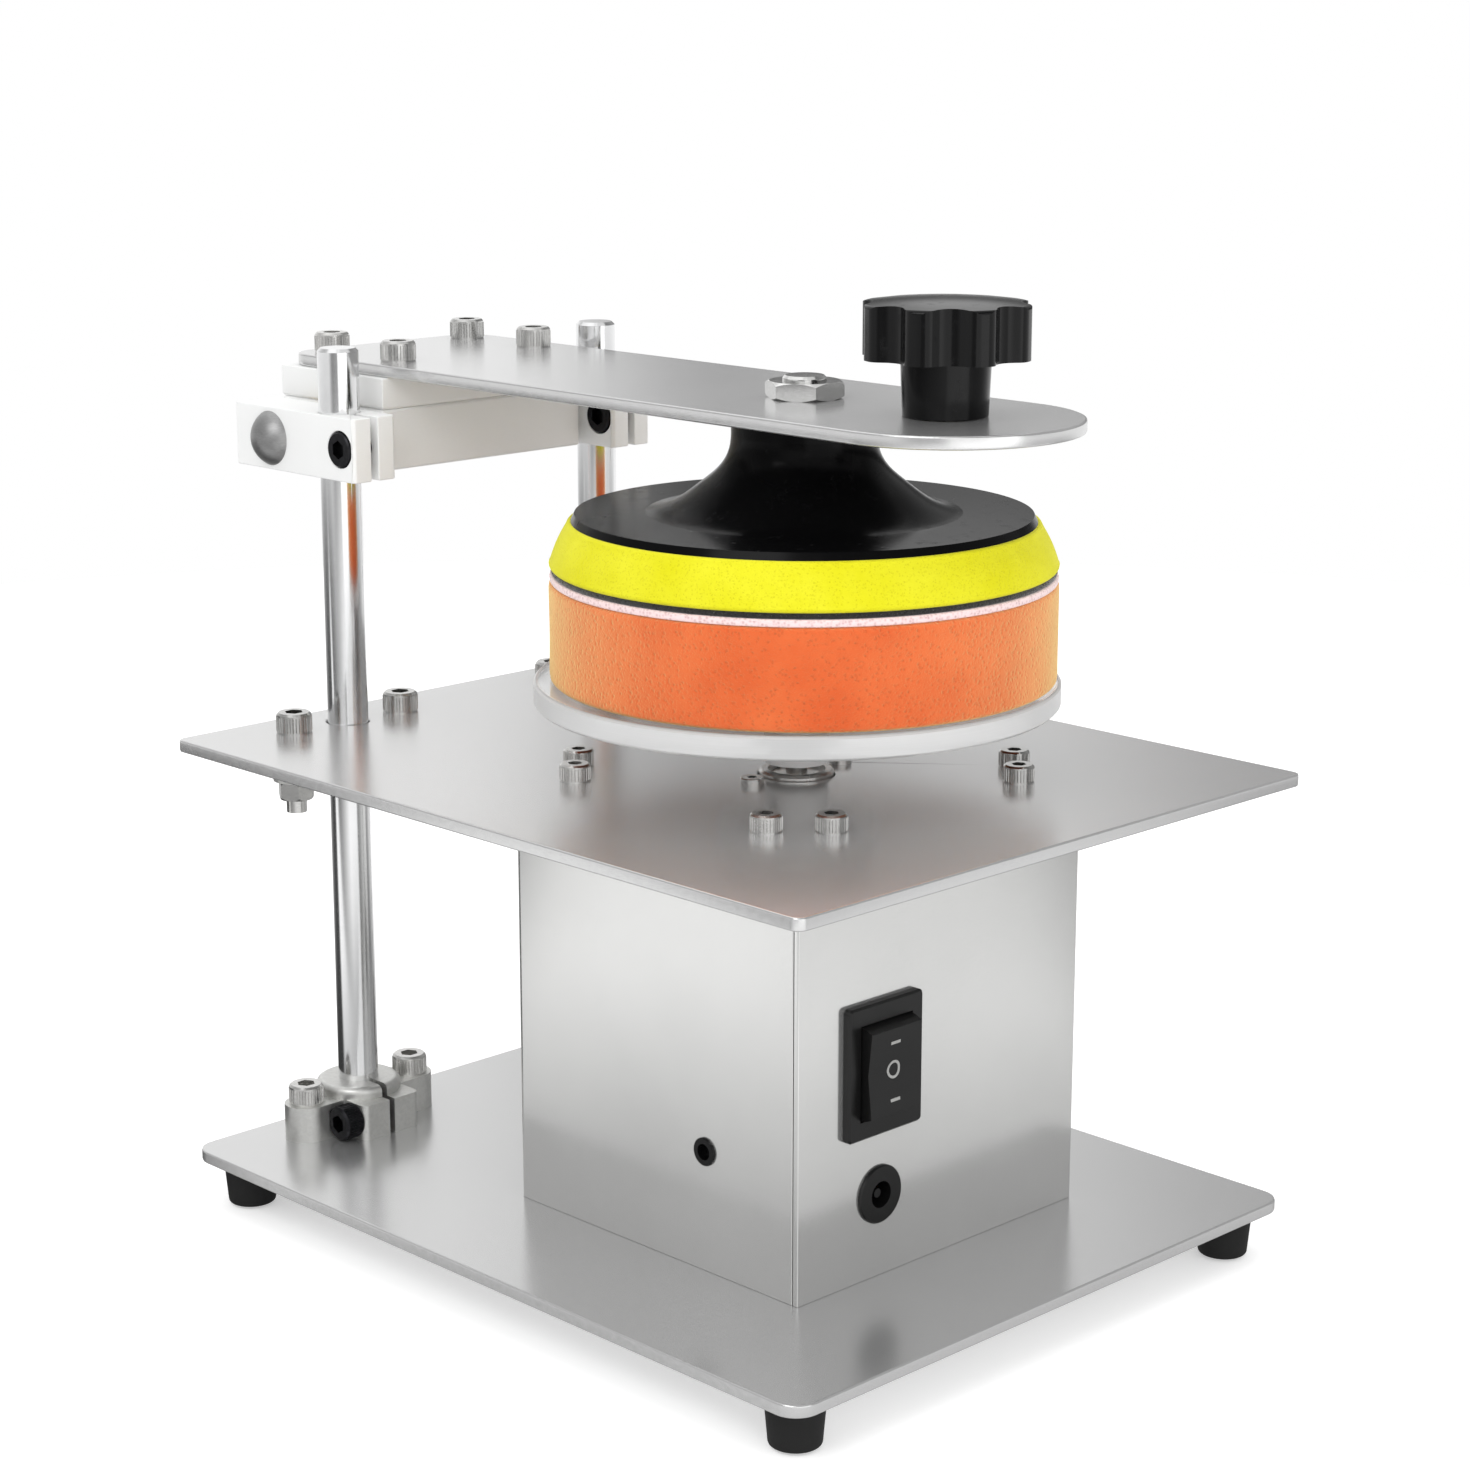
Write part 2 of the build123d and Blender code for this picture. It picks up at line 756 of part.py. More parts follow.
with BuildPart() as motor_end_cap:
    with BuildSketch(motor_axis_plane.offset(motor_bottom_z)):
        Circle(motor_inner_radius)
    extrude(amount=motor_cap_length)
    with BuildSketch(motor_axis_plane.offset(motor_bottom_z + motor_wall)):
        Circle(cap_hollow_radius)
        with Locations((0, brush_middle), (0, -brush_middle)):
            Rectangle(brush_width + 2 * brush_guide_wall, brush_length, mode=Mode.SUBTRACT)
    extrude(amount=motor_cap_length, mode=Mode.SUBTRACT)
    with BuildSketch(motor_axis_plane.offset(brush_z)):
        with Locations((0, brush_middle), (0, -brush_middle)):
            Rectangle(brush_width, brush_length)
    extrude(amount=brush_width, mode=Mode.SUBTRACT)
    with BuildSketch(motor_axis_plane.offset(motor_bottom_z)):
        Circle(motor_boss_radius)
    extrude(amount=-motor_wall)
    with BuildSketch(motor_axis_plane.offset(motor_bottom_z - motor_wall)):
        Circle(motor_shaft_radius + running_clearance)
    extrude(amount=2 * motor_wall, mode=Mode.SUBTRACT)
    with BuildSketch(motor_axis_plane.offset(motor_bottom_z)):
        with Locations((0, motor_terminal_place), (0, -motor_terminal_place)):
            Rectangle(terminal_width, terminal_thickness)
    extrude(amount=-terminal_length)
finish(motor_end_cap.part, "motor_end_cap")

# Two magnets that face each other along X, with a gap between them at each end of Y.
magnet_bottom_z = (cap_top_z + cavity_top_z - magnet_length) / 2
magnet_gap = 2 * motor_inner_radius * math.cos(math.radians(magnet_arc / 2))
with BuildPart() as motor_magnets:
    with BuildSketch(motor_axis_plane.offset(magnet_bottom_z)):
        Circle(motor_inner_radius)
        Circle(motor_inner_radius - magnet_thickness, mode=Mode.SUBTRACT)
        Rectangle(magnet_gap, 2 * motor_radius, mode=Mode.SUBTRACT)
    extrude(amount=magnet_length)
finish(motor_magnets.part, "motor_magnets")

with BuildPart() as motor_screws:
    with Locations((0, turntable_y, table_top_z)):
        with GridLocations(motor_screw_spacing, 0, 2, 1):
            add(m3_motor)
finish(motor_screws.part, "motor_screws")

with BuildPart() as motor_brushes:
    with BuildSketch(motor_axis_plane.offset(brush_z)):
        with Locations((0, brush_middle), (0, -brush_middle)):
            Rectangle(brush_width, brush_length)
    extrude(amount=brush_width)
finish(motor_brushes.part, "motor_brushes")

# ---------------------------------------------------------------- turning pieces of the motor
shaft_top_z = disc_bottom_z - hub_flange_thickness
with BuildPart() as motor_shaft:
    with BuildSketch(motor_axis_plane.offset(motor_bottom_z - motor_wall)):
        Circle(motor_shaft_radius)
    extrude(amount=shaft_top_z - motor_bottom_z + motor_wall)
    chamfer(motor_shaft.edges().group_by(Axis.Z)[-1], motor_shaft_chamfer)
finish(motor_shaft.part, "motor_shaft")

armature_radius = motor_inner_radius - magnet_thickness - air_gap
armature_z = magnet_bottom_z + (magnet_length - armature_length) / 2
with BuildPart() as motor_armature:
    with BuildSketch(motor_axis_plane.offset(armature_z)):
        Circle(armature_radius)
        with PolarLocations(armature_radius, armature_slots):
            slot_length = 2 * armature_slot_reach * armature_radius
            Rectangle(slot_length, armature_slot_width, mode=Mode.SUBTRACT)
        Circle(motor_shaft_radius, mode=Mode.SUBTRACT)
    extrude(amount=armature_length)
    with BuildSketch(motor_axis_plane.offset(armature_z + armature_length)):
        Circle(armature_radius * winding_reach)
        Circle(motor_shaft_radius, mode=Mode.SUBTRACT)
    extrude(amount=winding_length)
    with BuildSketch(motor_axis_plane.offset(armature_z - winding_length)):
        Circle(armature_radius * winding_reach)
        Circle(motor_shaft_radius, mode=Mode.SUBTRACT)
    extrude(amount=winding_length)
finish(motor_armature.part, "motor_armature")

with BuildPart() as commutator:
    with BuildSketch(motor_axis_plane.offset(commutator_z)):
        Circle(commutator_radius)
        Circle(motor_shaft_radius, mode=Mode.SUBTRACT)
    extrude(amount=commutator_length)
finish(commutator.part, "commutator")

# ---------------------------------------------------------------- turntable
hub_height = disc_bottom_z - hub_bottom_z
with BuildPart() as turntable_hub:
    with BuildSketch(motor_axis_plane.offset(hub_bottom_z)):
        Circle(hub_barrel_radius)
    extrude(amount=hub_height)
    with BuildSketch(motor_axis_plane.offset(disc_bottom_z - hub_flange_thickness)):
        Circle(hub_flange_radius)
    extrude(amount=hub_flange_thickness)
    with BuildSketch(motor_axis_plane.offset(disc_bottom_z)):
        Circle(centre_stem_radius)
    extrude(amount=-hub_flange_thickness, mode=Mode.SUBTRACT)
    with BuildSketch(Plane.YZ.offset(-hub_barrel_radius)):
        with Locations((turntable_y, hub_bottom_z + hub_screw_height)):
            Circle(hub_screw_radius)
    extrude(amount=hub_barrel_radius, mode=Mode.SUBTRACT)
    with BuildSketch(motor_axis_plane.offset(hub_bottom_z)):
        Circle(motor_shaft_radius)
    extrude(amount=hub_height, mode=Mode.SUBTRACT)
finish(turntable_hub.part, "turntable_hub")

with BuildPart() as hub_set_screw:
    with BuildSketch(Plane.YZ.offset(-motor_shaft_radius)):
        with Locations((turntable_y, hub_bottom_z + hub_screw_height)):
            Circle(hub_screw_radius)
    extrude(amount=-hub_screw_length)
    with BuildSketch(Plane.YZ.offset(-motor_shaft_radius - hub_screw_length)):
        with Locations((turntable_y, hub_bottom_z + hub_screw_height)):
            RegularPolygon(hub_screw_socket / 2, 6, major_radius=False)
    extrude(amount=hub_screw_length * socket_share, mode=Mode.SUBTRACT)
finish(hub_set_screw.part, "hub_set_screw")

with BuildPart() as turntable_disc:
    with BuildSketch(motor_axis_plane.offset(disc_bottom_z)):
        Circle(turntable_radius)
        Circle(centre_stem_radius, mode=Mode.SUBTRACT)
    extrude(amount=turntable_thickness)
    rim_edges = turntable_disc.edges().filter_by(GeomType.CIRCLE).sort_by(SortBy.RADIUS)[-2:]
    chamfer(rim_edges, turntable_edge)
finish(turntable_disc.part, "turntable_disc")

with BuildPart() as centre_cap:
    with BuildSketch(motor_axis_plane.offset(disc_top_z)):
        Circle(disc_hole_radius)
    extrude(amount=disc_boss_height)
    chamfer(centre_cap.edges().group_by(Axis.Z)[-1], disc_boss_chamfer)
    with BuildSketch(motor_axis_plane.offset(disc_top_z)):
        Circle(centre_stem_radius)
    extrude(amount=-centre_stem_length)
finish(centre_cap.part, "centre_cap")

# ---------------------------------------------------------------- polishing head
head_plane = Plane((0, head_y, 0))

with BuildPart() as polishing_sponge:
    with BuildSketch(head_plane.offset(sponge_z)):
        Circle(sponge_radius)
    extrude(amount=sponge_thickness)
    fillet(polishing_sponge.edges().filter_by(GeomType.CIRCLE), sponge_round)
    with BuildSketch(head_plane.offset(sponge_z)):
        Circle(sponge_recess_radius)
    extrude(amount=sponge_recess_depth, mode=Mode.SUBTRACT)
finish(polishing_sponge.part, "polishing_sponge")

with BuildPart() as loop_layer:
    with BuildSketch(head_plane.offset(loop_z)):
        Circle(sponge_radius - loop_inset)
    extrude(amount=loop_thickness)
finish(loop_layer.part, "loop_layer")

with BuildPart() as hook_layer:
    with BuildSketch(head_plane.offset(hook_z)):
        Circle(sponge_radius - hook_inset)
    extrude(amount=hook_thickness)
finish(hook_layer.part, "hook_layer")

foam_bottom_radius = sponge_radius + foam_overhang
foam_top_radius = foam_bottom_radius - foam_taper
with BuildPart() as foam_layer:
    with BuildSketch(head_plane.offset(foam_z)):
        Circle(foam_bottom_radius)
    with BuildSketch(head_plane.offset(foam_z + foam_thickness)):
        Circle(foam_top_radius)
    loft(ruled=True)
    fillet(foam_layer.edges().filter_by(GeomType.CIRCLE), foam_round)
finish(foam_layer.part, "foam_layer")

# The trumpet shaped backing plate: a thin rim that flares up into a neck round two bearings.
head_section = Plane((0, head_y, backing_z), x_dir=(1, 0, 0), z_dir=(0, -1, 0))
backing_rim_radius = foam_top_radius - backing_inset
backing_neck_radius = bearing_outer_radius + backing_neck_wall
backing_lip_radius = bearing_outer_radius - backing_lip_overlap
with BuildPart() as backing_plate:
    with BuildSketch(head_section):
        with BuildLine():
            rim_top = (backing_rim_radius - backing_rim_slope, backing_rim_thickness)
            flare_start = (backing_flare_radius, backing_rim_thickness + backing_flare_rise)
            neck_start = (backing_neck_radius, backing_neck_height)
            Line((bearing_outer_radius, 0), (backing_rim_radius, 0))
            Line((backing_rim_radius, 0), rim_top)
            Line(rim_top, flare_start)
            Spline(
                flare_start,
                (backing_mid_radius, backing_mid_height),
                neck_start,
                tangents=[(-1, backing_flare_slope), (0, 1)],
            )
            Line(neck_start, (backing_neck_radius, backing_height))
            Line((backing_neck_radius, backing_height), (backing_lip_radius, backing_height))
            lip_z = backing_height - backing_lip_thickness
            Line((backing_lip_radius, backing_height), (backing_lip_radius, lip_z))
            Line((backing_lip_radius, lip_z), (bearing_outer_radius, lip_z))
            Line((bearing_outer_radius, lip_z), (bearing_outer_radius, 0))
        make_face()
    revolve(axis=Axis((0, head_y, 0), (0, 0, 1)))
finish(backing_plate.part, "backing_plate")

# Bearings: rings with a groove each, and balls that run in the grooves.
ball_pitch_radius = (bearing_outer_radius + bearing_inner_radius) / 2
ball_radius = (bearing_outer_radius - bearing_inner_radius) / 2 - bearing_ring_wall + ball_groove_depth
bearing_levels = []
for number in range(bearing_count):
    bearing_levels.append(bearing_z + (number + 0.5) * bearing_width)

with BuildPart() as bearing_outer_rings:
    for level in bearing_levels:
        with BuildSketch(head_plane.offset(level - bearing_width / 2)):
            Circle(bearing_outer_radius)
            Circle(bearing_outer_radius - bearing_ring_wall, mode=Mode.SUBTRACT)
        extrude(amount=bearing_width)
        with Locations((0, head_y, level)):
            Torus(ball_pitch_radius, ball_radius + ball_clearance, mode=Mode.SUBTRACT)
finish(bearing_outer_rings.part, "bearing_outer_rings")

with BuildPart() as bearing_inner_rings:
    for level in bearing_levels:
        with BuildSketch(head_plane.offset(level - bearing_width / 2)):
            Circle(bearing_inner_radius + bearing_ring_wall)
            Circle(bearing_inner_radius, mode=Mode.SUBTRACT)
        extrude(amount=bearing_width)
        with Locations((0, head_y, level)):
            Torus(ball_pitch_radius, ball_radius + ball_clearance, mode=Mode.SUBTRACT)
finish(bearing_inner_rings.part, "bearing_inner_rings")

with BuildPart() as bearing_balls:
    for level in bearing_levels:
        with Locations((0, head_y, level)):
            with PolarLocations(ball_pitch_radius, ball_count):
                Sphere(ball_radius)
finish(bearing_balls.part, "bearing_balls")

# ---------------------------------------------------------------- spindle, fixed in the arm
spindle_head_z = bearing_z - spindle_head_height
with BuildPart() as spindle_bolt:
    with BuildSketch(head_plane.offset(spindle_head_z)):
        RegularPolygon(spindle_head_flats / 2, 6, major_radius=False)
    extrude(amount=spindle_head_height)
    with BuildSketch(head_plane.offset(bearing_z)):
        Circle(bearing_inner_radius)
    extrude(amount=arm_top_z + spindle_nut_height + spindle_thread_end - bearing_z)
    chamfer(spindle_bolt.edges().group_by(Axis.Z)[-1], spindle_end_chamfer)
finish(spindle_bolt.part, "spindle_bolt")

with BuildPart() as spindle_sleeve:
    sleeve_z = bearing_z + bearing_count * bearing_width
    with BuildSketch(head_plane.offset(sleeve_z)):
        Circle(spindle_sleeve_radius)
        Circle(bearing_inner_radius, mode=Mode.SUBTRACT)
    extrude(amount=arm_z - sleeve_z)
finish(spindle_sleeve.part, "spindle_sleeve")

spindle_nut_form = hexagon_nut(bearing_inner_radius, spindle_nut_flats, spindle_nut_height)
with BuildPart() as spindle_nut:
    with Locations((0, head_y, arm_top_z)):
        add(spindle_nut_form)
finish(spindle_nut.part, "spindle_nut")

# ---------------------------------------------------------------- arm
hinge_rear_y = rod_y + hinge_rear
hinge_front_y = rod_y - hinge_front
with BuildPart() as arm_plate:
    with BuildSketch(Plane.XY.offset(arm_z)):
        with BuildLine():
            rear_inner_y = hinge_rear_y - arm_rear_corner
            rear_inner_x = arm_half_width - arm_rear_corner
            Line((-arm_half_width, knob_y), (-arm_half_width, rear_inner_y))
            RadiusArc((-arm_half_width, rear_inner_y), (-rear_inner_x, hinge_rear_y), arm_rear_corner)
            Line((-rear_inner_x, hinge_rear_y), (rear_inner_x, hinge_rear_y))
            RadiusArc((rear_inner_x, hinge_rear_y), (arm_half_width, rear_inner_y), arm_rear_corner)
            Line((arm_half_width, rear_inner_y), (arm_half_width, knob_y))
            ThreePointArc(
                (arm_half_width, knob_y),
                (0, knob_y - arm_half_width),
                (-arm_half_width, knob_y),
            )
        make_face()
        with Locations(*arm_screw_points):
            Circle(m5_radius + screw_clearance, mode=Mode.SUBTRACT)
        with Locations((0, head_y)):
            Circle(bearing_inner_radius, mode=Mode.SUBTRACT)
        with Locations((0, knob_y)):
            Circle(knob_screw_radius, mode=Mode.SUBTRACT)
    extrude(amount=arm_thickness)
finish(arm_plate.part, "arm_plate")

hinge_middle_y = (hinge_front_y + hinge_rear_y) / 2
hinge_depth = hinge_rear_y - hinge_front_y
with BuildPart() as arm_spacer:
    with BuildSketch(Plane.XY.offset(spacer_z)):
        with Locations((0, hinge_middle_y)):
            Rectangle(2 * hinge_half_width, hinge_depth)
        with Locations(*arm_screw_points):
            Circle(m5_radius + screw_clearance, mode=Mode.SUBTRACT)
    extrude(amount=spacer_height)
    chamfer(arm_spacer.faces().sort_by(Axis.Z)[0].outer_wire().edges(), hinge_chamfer)
finish(arm_spacer.part, "arm_spacer")

pin_section = Plane.YZ
arm_screw_depth = arm_screw_length - arm_thickness - spacer_height
with BuildPart() as hinge_block:
    with BuildSketch(Plane.XY.offset(hinge_z)):
        with Locations((0, hinge_middle_y)):
            Rectangle(2 * hinge_half_width, hinge_depth)
    extrude(amount=hinge_height)
    chamfer(hinge_block.edges(), hinge_chamfer)
    with BuildSketch(Plane.XY.offset(spacer_z)):
        with Locations(*arm_screw_points):
            Circle(m5_radius)
    extrude(amount=-arm_screw_depth, mode=Mode.SUBTRACT)
    with BuildSketch(pin_section.offset(-hinge_half_width)):
        with Locations((pin_y, pin_z)):
            Circle(bush_radius)
    extrude(amount=2 * hinge_half_width, mode=Mode.SUBTRACT)
finish(hinge_block.part, "hinge_block")

with BuildPart() as pivot_bushes:
    for side in (-1, 1):
        outer_x = side * (clamp_inner_x - bush_play)
        flange_length = clamp_inner_x - bush_play - hinge_half_width
        with BuildSketch(pin_section.offset(side * hinge_half_width)):
            with Locations((pin_y, pin_z)):
                Circle(bush_flange_radius)
        extrude(amount=side * flange_length)
        with BuildSketch(pin_section.offset(side * hinge_half_width)):
            with Locations((pin_y, pin_z)):
                Circle(bush_radius)
        extrude(amount=-side * bush_length)
        with BuildSketch(pin_section.offset(outer_x)):
            with Locations((pin_y, pin_z)):
                Circle(pin_radius + running_clearance)
        extrude(amount=-side * (bush_length + flange_length), mode=Mode.SUBTRACT)
finish(pivot_bushes.part, "pivot_bushes")

with BuildPart() as arm_screws:
    with Locations(*[(x, y, arm_top_z) for x, y in arm_screw_points]):
        add(m5_arm)
finish(arm_screws.part, "arm_screws")

# ---------------------------------------------------------------- clamp blocks and hinge pin
clamp_bottom_z = pin_z - clamp_height / 2
clamp_screw_reach = rod_radius + m5_radius + clamp_screw_wall
for side, name in ((-1, "clamp_block_left"), (1, "clamp_block_right")):
    with BuildPart() as clamp_block:
        with BuildSketch(Plane.XY.offset(clamp_bottom_z)):
            with Locations((side * rod_x, rod_y + (clamp_rear - clamp_front) / 2)):
                Rectangle(clamp_width, clamp_front + clamp_rear)
        extrude(amount=clamp_height)
        chamfer(clamp_block.edges().filter_by(Axis.Z), clamp_edge)
        with BuildSketch(Plane.XY.offset(clamp_bottom_z)):
            with Locations((side * rod_x, rod_y)):
                Circle(rod_radius + running_clearance)
            with Locations((side * rod_x, rod_y - clamp_front / 2)):
                Rectangle(clamp_slit, clamp_front)
        extrude(amount=clamp_height, mode=Mode.SUBTRACT)
        left_face_x = side * rod_x - clamp_width / 2
        screw_y = rod_y - clamp_screw_reach
        with BuildSketch(Plane.YZ.offset(left_face_x)):
            with Locations((screw_y, pin_z)):
                Circle(m5_head_radius + screw_clearance)
        extrude(amount=clamp_counterbore, mode=Mode.SUBTRACT)
        with BuildSketch(Plane.YZ.offset(left_face_x)):
            with Locations((screw_y, pin_z)):
                Circle(m5_radius)
        extrude(amount=clamp_counterbore + clamp_screw_length, mode=Mode.SUBTRACT)
        with BuildSketch(Plane.YZ.offset(left_face_x)):
            with Locations((pin_y, pin_z)):
                Circle(pin_radius)
        extrude(amount=clamp_width, mode=Mode.SUBTRACT)
    finish(clamp_block.part, name)

clamp_screw_places = []
for side in (-1, 1):
    seat_x = side * rod_x - clamp_width / 2 + clamp_counterbore
    clamp_screw_places.append(Location((seat_x, rod_y - clamp_screw_reach, pin_z), (0, -90, 0)))
with BuildPart() as clamp_screws:
    with Locations(*clamp_screw_places):
        add(m5_clamp)
finish(clamp_screws.part, "clamp_screws")

# The pin goes through both clamp blocks and ends in a dome on each outer face.
dome_ball_radius = (dome_radius**2 + dome_height**2) / (2 * dome_height)
dome_section = Plane((0, pin_y, pin_z), x_dir=(1, 0, 0), z_dir=(0, 0, 1))
with BuildPart() as hinge_pin:
    for side in (-1, 1):
        with BuildSketch(dome_section):
            with BuildLine():
                foot_x = side * clamp_outer_x
                top_x = side * (clamp_outer_x + dome_height)
                Line((foot_x, 0), (foot_x, dome_radius))
                RadiusArc((foot_x, dome_radius), (top_x, 0), side * dome_ball_radius)
                Line((top_x, 0), (foot_x, 0))
            make_face()
        revolve(axis=Axis((0, pin_y, pin_z), (1, 0, 0)))
    with BuildSketch(pin_section.offset(-clamp_outer_x)):
        with Locations((pin_y, pin_z)):
            Circle(pin_radius)
    extrude(amount=2 * clamp_outer_x)
finish(hinge_pin.part, "hinge_pin")

# ---------------------------------------------------------------- star knob
knob_z = arm_top_z + knob_gap
knob_head_z = knob_z + knob_hub_height
knob_plane = Plane((0, knob_y, 0))
knob_crown_radius = knob_head_radius - knob_edge_round
knob_ball_radius = (knob_crown_radius**2 + knob_dome_height**2) / (2 * knob_dome_height)
with BuildPart() as star_knob:
    with BuildSketch(knob_plane.offset(knob_head_z)) as lobes:
        Circle(knob_head_radius)
        with PolarLocations(knob_head_radius + knob_groove_radius - knob_groove_depth, knob_lobes):
            Circle(knob_groove_radius, mode=Mode.SUBTRACT)
        fillet(lobes.vertices(), knob_lobe_round)
    extrude(amount=knob_head_height + knob_dome_height)
    with BuildSketch(Plane((0, knob_y, knob_head_z), x_dir=(1, 0, 0), z_dir=(0, -1, 0))):
        with BuildLine():
            Line((0, 0), (knob_head_radius, 0))
            edge_bottom = (knob_head_radius, knob_head_height - knob_edge_round)
            edge_top = (knob_crown_radius, knob_head_height)
            Line((knob_head_radius, 0), edge_bottom)
            RadiusArc(edge_bottom, edge_top, -knob_edge_round)
            RadiusArc(edge_top, (0, knob_head_height + knob_dome_height), -knob_ball_radius)
            Line((0, knob_head_height + knob_dome_height), (0, 0))
        make_face()
    revolve(axis=Axis((0, knob_y, 0), (0, 0, 1)), mode=Mode.INTERSECT)
    with BuildSketch(knob_plane.offset(knob_z)):
        Circle(knob_hub_radius)
    with BuildSketch(knob_plane.offset(knob_head_z)):
        Circle(knob_hub_top_radius)
    loft(ruled=True)
    with BuildSketch(knob_plane.offset(knob_z)):
        Circle(knob_insert_radius)
    extrude(amount=knob_insert_length, mode=Mode.SUBTRACT)
finish(star_knob.part, "star_knob")

with BuildPart() as knob_insert:
    with BuildSketch(knob_plane.offset(knob_z)):
        Circle(knob_insert_radius)
        Circle(knob_screw_radius + running_clearance, mode=Mode.SUBTRACT)
    extrude(amount=knob_insert_length)
finish(knob_insert.part, "knob_insert")

with BuildPart() as knob_screw:
    with BuildSketch(knob_plane.offset(arm_z - knob_screw_head_height)):
        Circle(knob_screw_head_radius)
    extrude(amount=knob_screw_head_height)
    fillet(knob_screw.edges().group_by(Axis.Z)[0], knob_screw_head_round)
    with BuildSketch(knob_plane.offset(arm_z)):
        Circle(knob_screw_radius)
    extrude(amount=knob_screw_length)
    with BuildSketch(knob_plane.offset(arm_z - knob_screw_head_height)):
        RegularPolygon(m5_socket / 2, 6, major_radius=False)
    extrude(amount=knob_screw_head_height * socket_share, mode=Mode.SUBTRACT)
finish(knob_screw.part, "knob_screw")

# ---------------------------------------------------------------- rocker switch
switch_plane = Plane((switch_x, housing_front_y, switch_z), x_dir=(1, 0, 0), z_dir=(0, -1, 0))
with BuildPart() as switch_body:
    with BuildSketch(switch_plane):
        RectangleRounded(bezel_width, bezel_height, bezel_round)
    extrude(amount=bezel_thickness)
    chamfer(switch_body.faces().sort_by(Axis.Y)[0].edges(), bezel_edge)
    with BuildSketch(switch_plane):
        Rectangle(switch_body_width, switch_body_height)
    extrude(amount=-switch_body_depth)
    with BuildSketch(Plane.YZ.offset(switch_x - rocker_opening / 2)):
        with Locations((housing_front_y, switch_z)):
            Circle(cavity_radius)
    extrude(amount=rocker_opening, mode=Mode.SUBTRACT)
    stub_hole = rocker_opening + 2 * rocker_stub_length
    with BuildSketch(Plane.YZ.offset(switch_x - stub_hole / 2)):
        with Locations((housing_front_y, switch_z)):
            Circle(rocker_stub_radius + running_clearance)
    extrude(amount=stub_hole, mode=Mode.SUBTRACT)
    with BuildSketch(switch_plane.offset(-switch_body_depth)):
        with GridLocations(terminal_spacing_across, terminal_spacing_up, 2, 3):
            Rectangle(terminal_thickness, terminal_width)
    extrude(amount=-terminal_length)
finish(switch_body.part, "switch_body")

with BuildPart() as switch_rocker:
    with BuildSketch(Plane.YZ.offset(switch_x - rocker_width / 2)):
        with BuildLine():
            tip = math.sqrt(rocker_radius**2 - rocker_reach**2)
            heel = math.sqrt(rocker_radius**2 - rocker_back**2)
            front = housing_front_y - rocker_reach
            back = housing_front_y + rocker_back
            Line((front, switch_z - tip), (front + rocker_hollow, switch_z))
            Line((front + rocker_hollow, switch_z), (front, switch_z + tip))
            ThreePointArc(
                (front, switch_z + tip),
                (housing_front_y, switch_z + rocker_radius),
                (back, switch_z + heel),
            )
            Line((back, switch_z + heel), (back, switch_z - heel))
            ThreePointArc(
                (back, switch_z - heel),
                (housing_front_y, switch_z - rocker_radius),
                (front, switch_z - tip),
            )
        make_face()
    extrude(amount=rocker_width)
    stub_span = rocker_opening + 2 * rocker_stub_length - 2 * rocker_gap
    with BuildSketch(Plane.YZ.offset(switch_x - stub_span / 2)):
        with Locations((housing_front_y, switch_z)):
            Circle(rocker_stub_radius)
    extrude(amount=stub_span)
finish(switch_rocker.part, "switch_rocker")

# ---------------------------------------------------------------- power jack
jack_plane = Plane((switch_x, housing_front_y, jack_z), x_dir=(1, 0, 0), z_dir=(0, -1, 0))
with BuildPart() as power_jack:
    with BuildSketch(jack_plane):
        Circle(jack_flange_radius)
    extrude(amount=jack_flange_thickness)
    chamfer(power_jack.edges().group_by(Axis.Y)[0], jack_flange_edge)
    with BuildSketch(jack_plane):
        Circle(jack_barrel_radius)
    extrude(amount=-jack_barrel_length)
    with BuildSketch(jack_plane.offset(jack_flange_thickness)):
        Circle(jack_socket_radius)
    extrude(amount=-jack_socket_depth, mode=Mode.SUBTRACT)
    with BuildSketch(jack_plane.offset(jack_flange_thickness - jack_socket_depth)):
        Circle(jack_pin_radius)
    extrude(amount=jack_socket_depth - jack_pin_recess)
finish(power_jack.part, "power_jack")

jack_nut_form = hexagon_nut(jack_barrel_radius, jack_nut_flats, jack_nut_height)
with BuildPart() as jack_nut:
    nut_y = housing_front_y + sheet_thickness
    with Locations(Location((switch_x, nut_y, jack_z), (-90, 0, 0))):
        add(jack_nut_form)
finish(jack_nut.part, "jack_nut")
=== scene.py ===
"""Disc repair machine: its finishes, soft layers, screws and studio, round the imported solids."""

import json
import math

import bmesh
import bpy
from mathutils import Euler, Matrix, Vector, noise

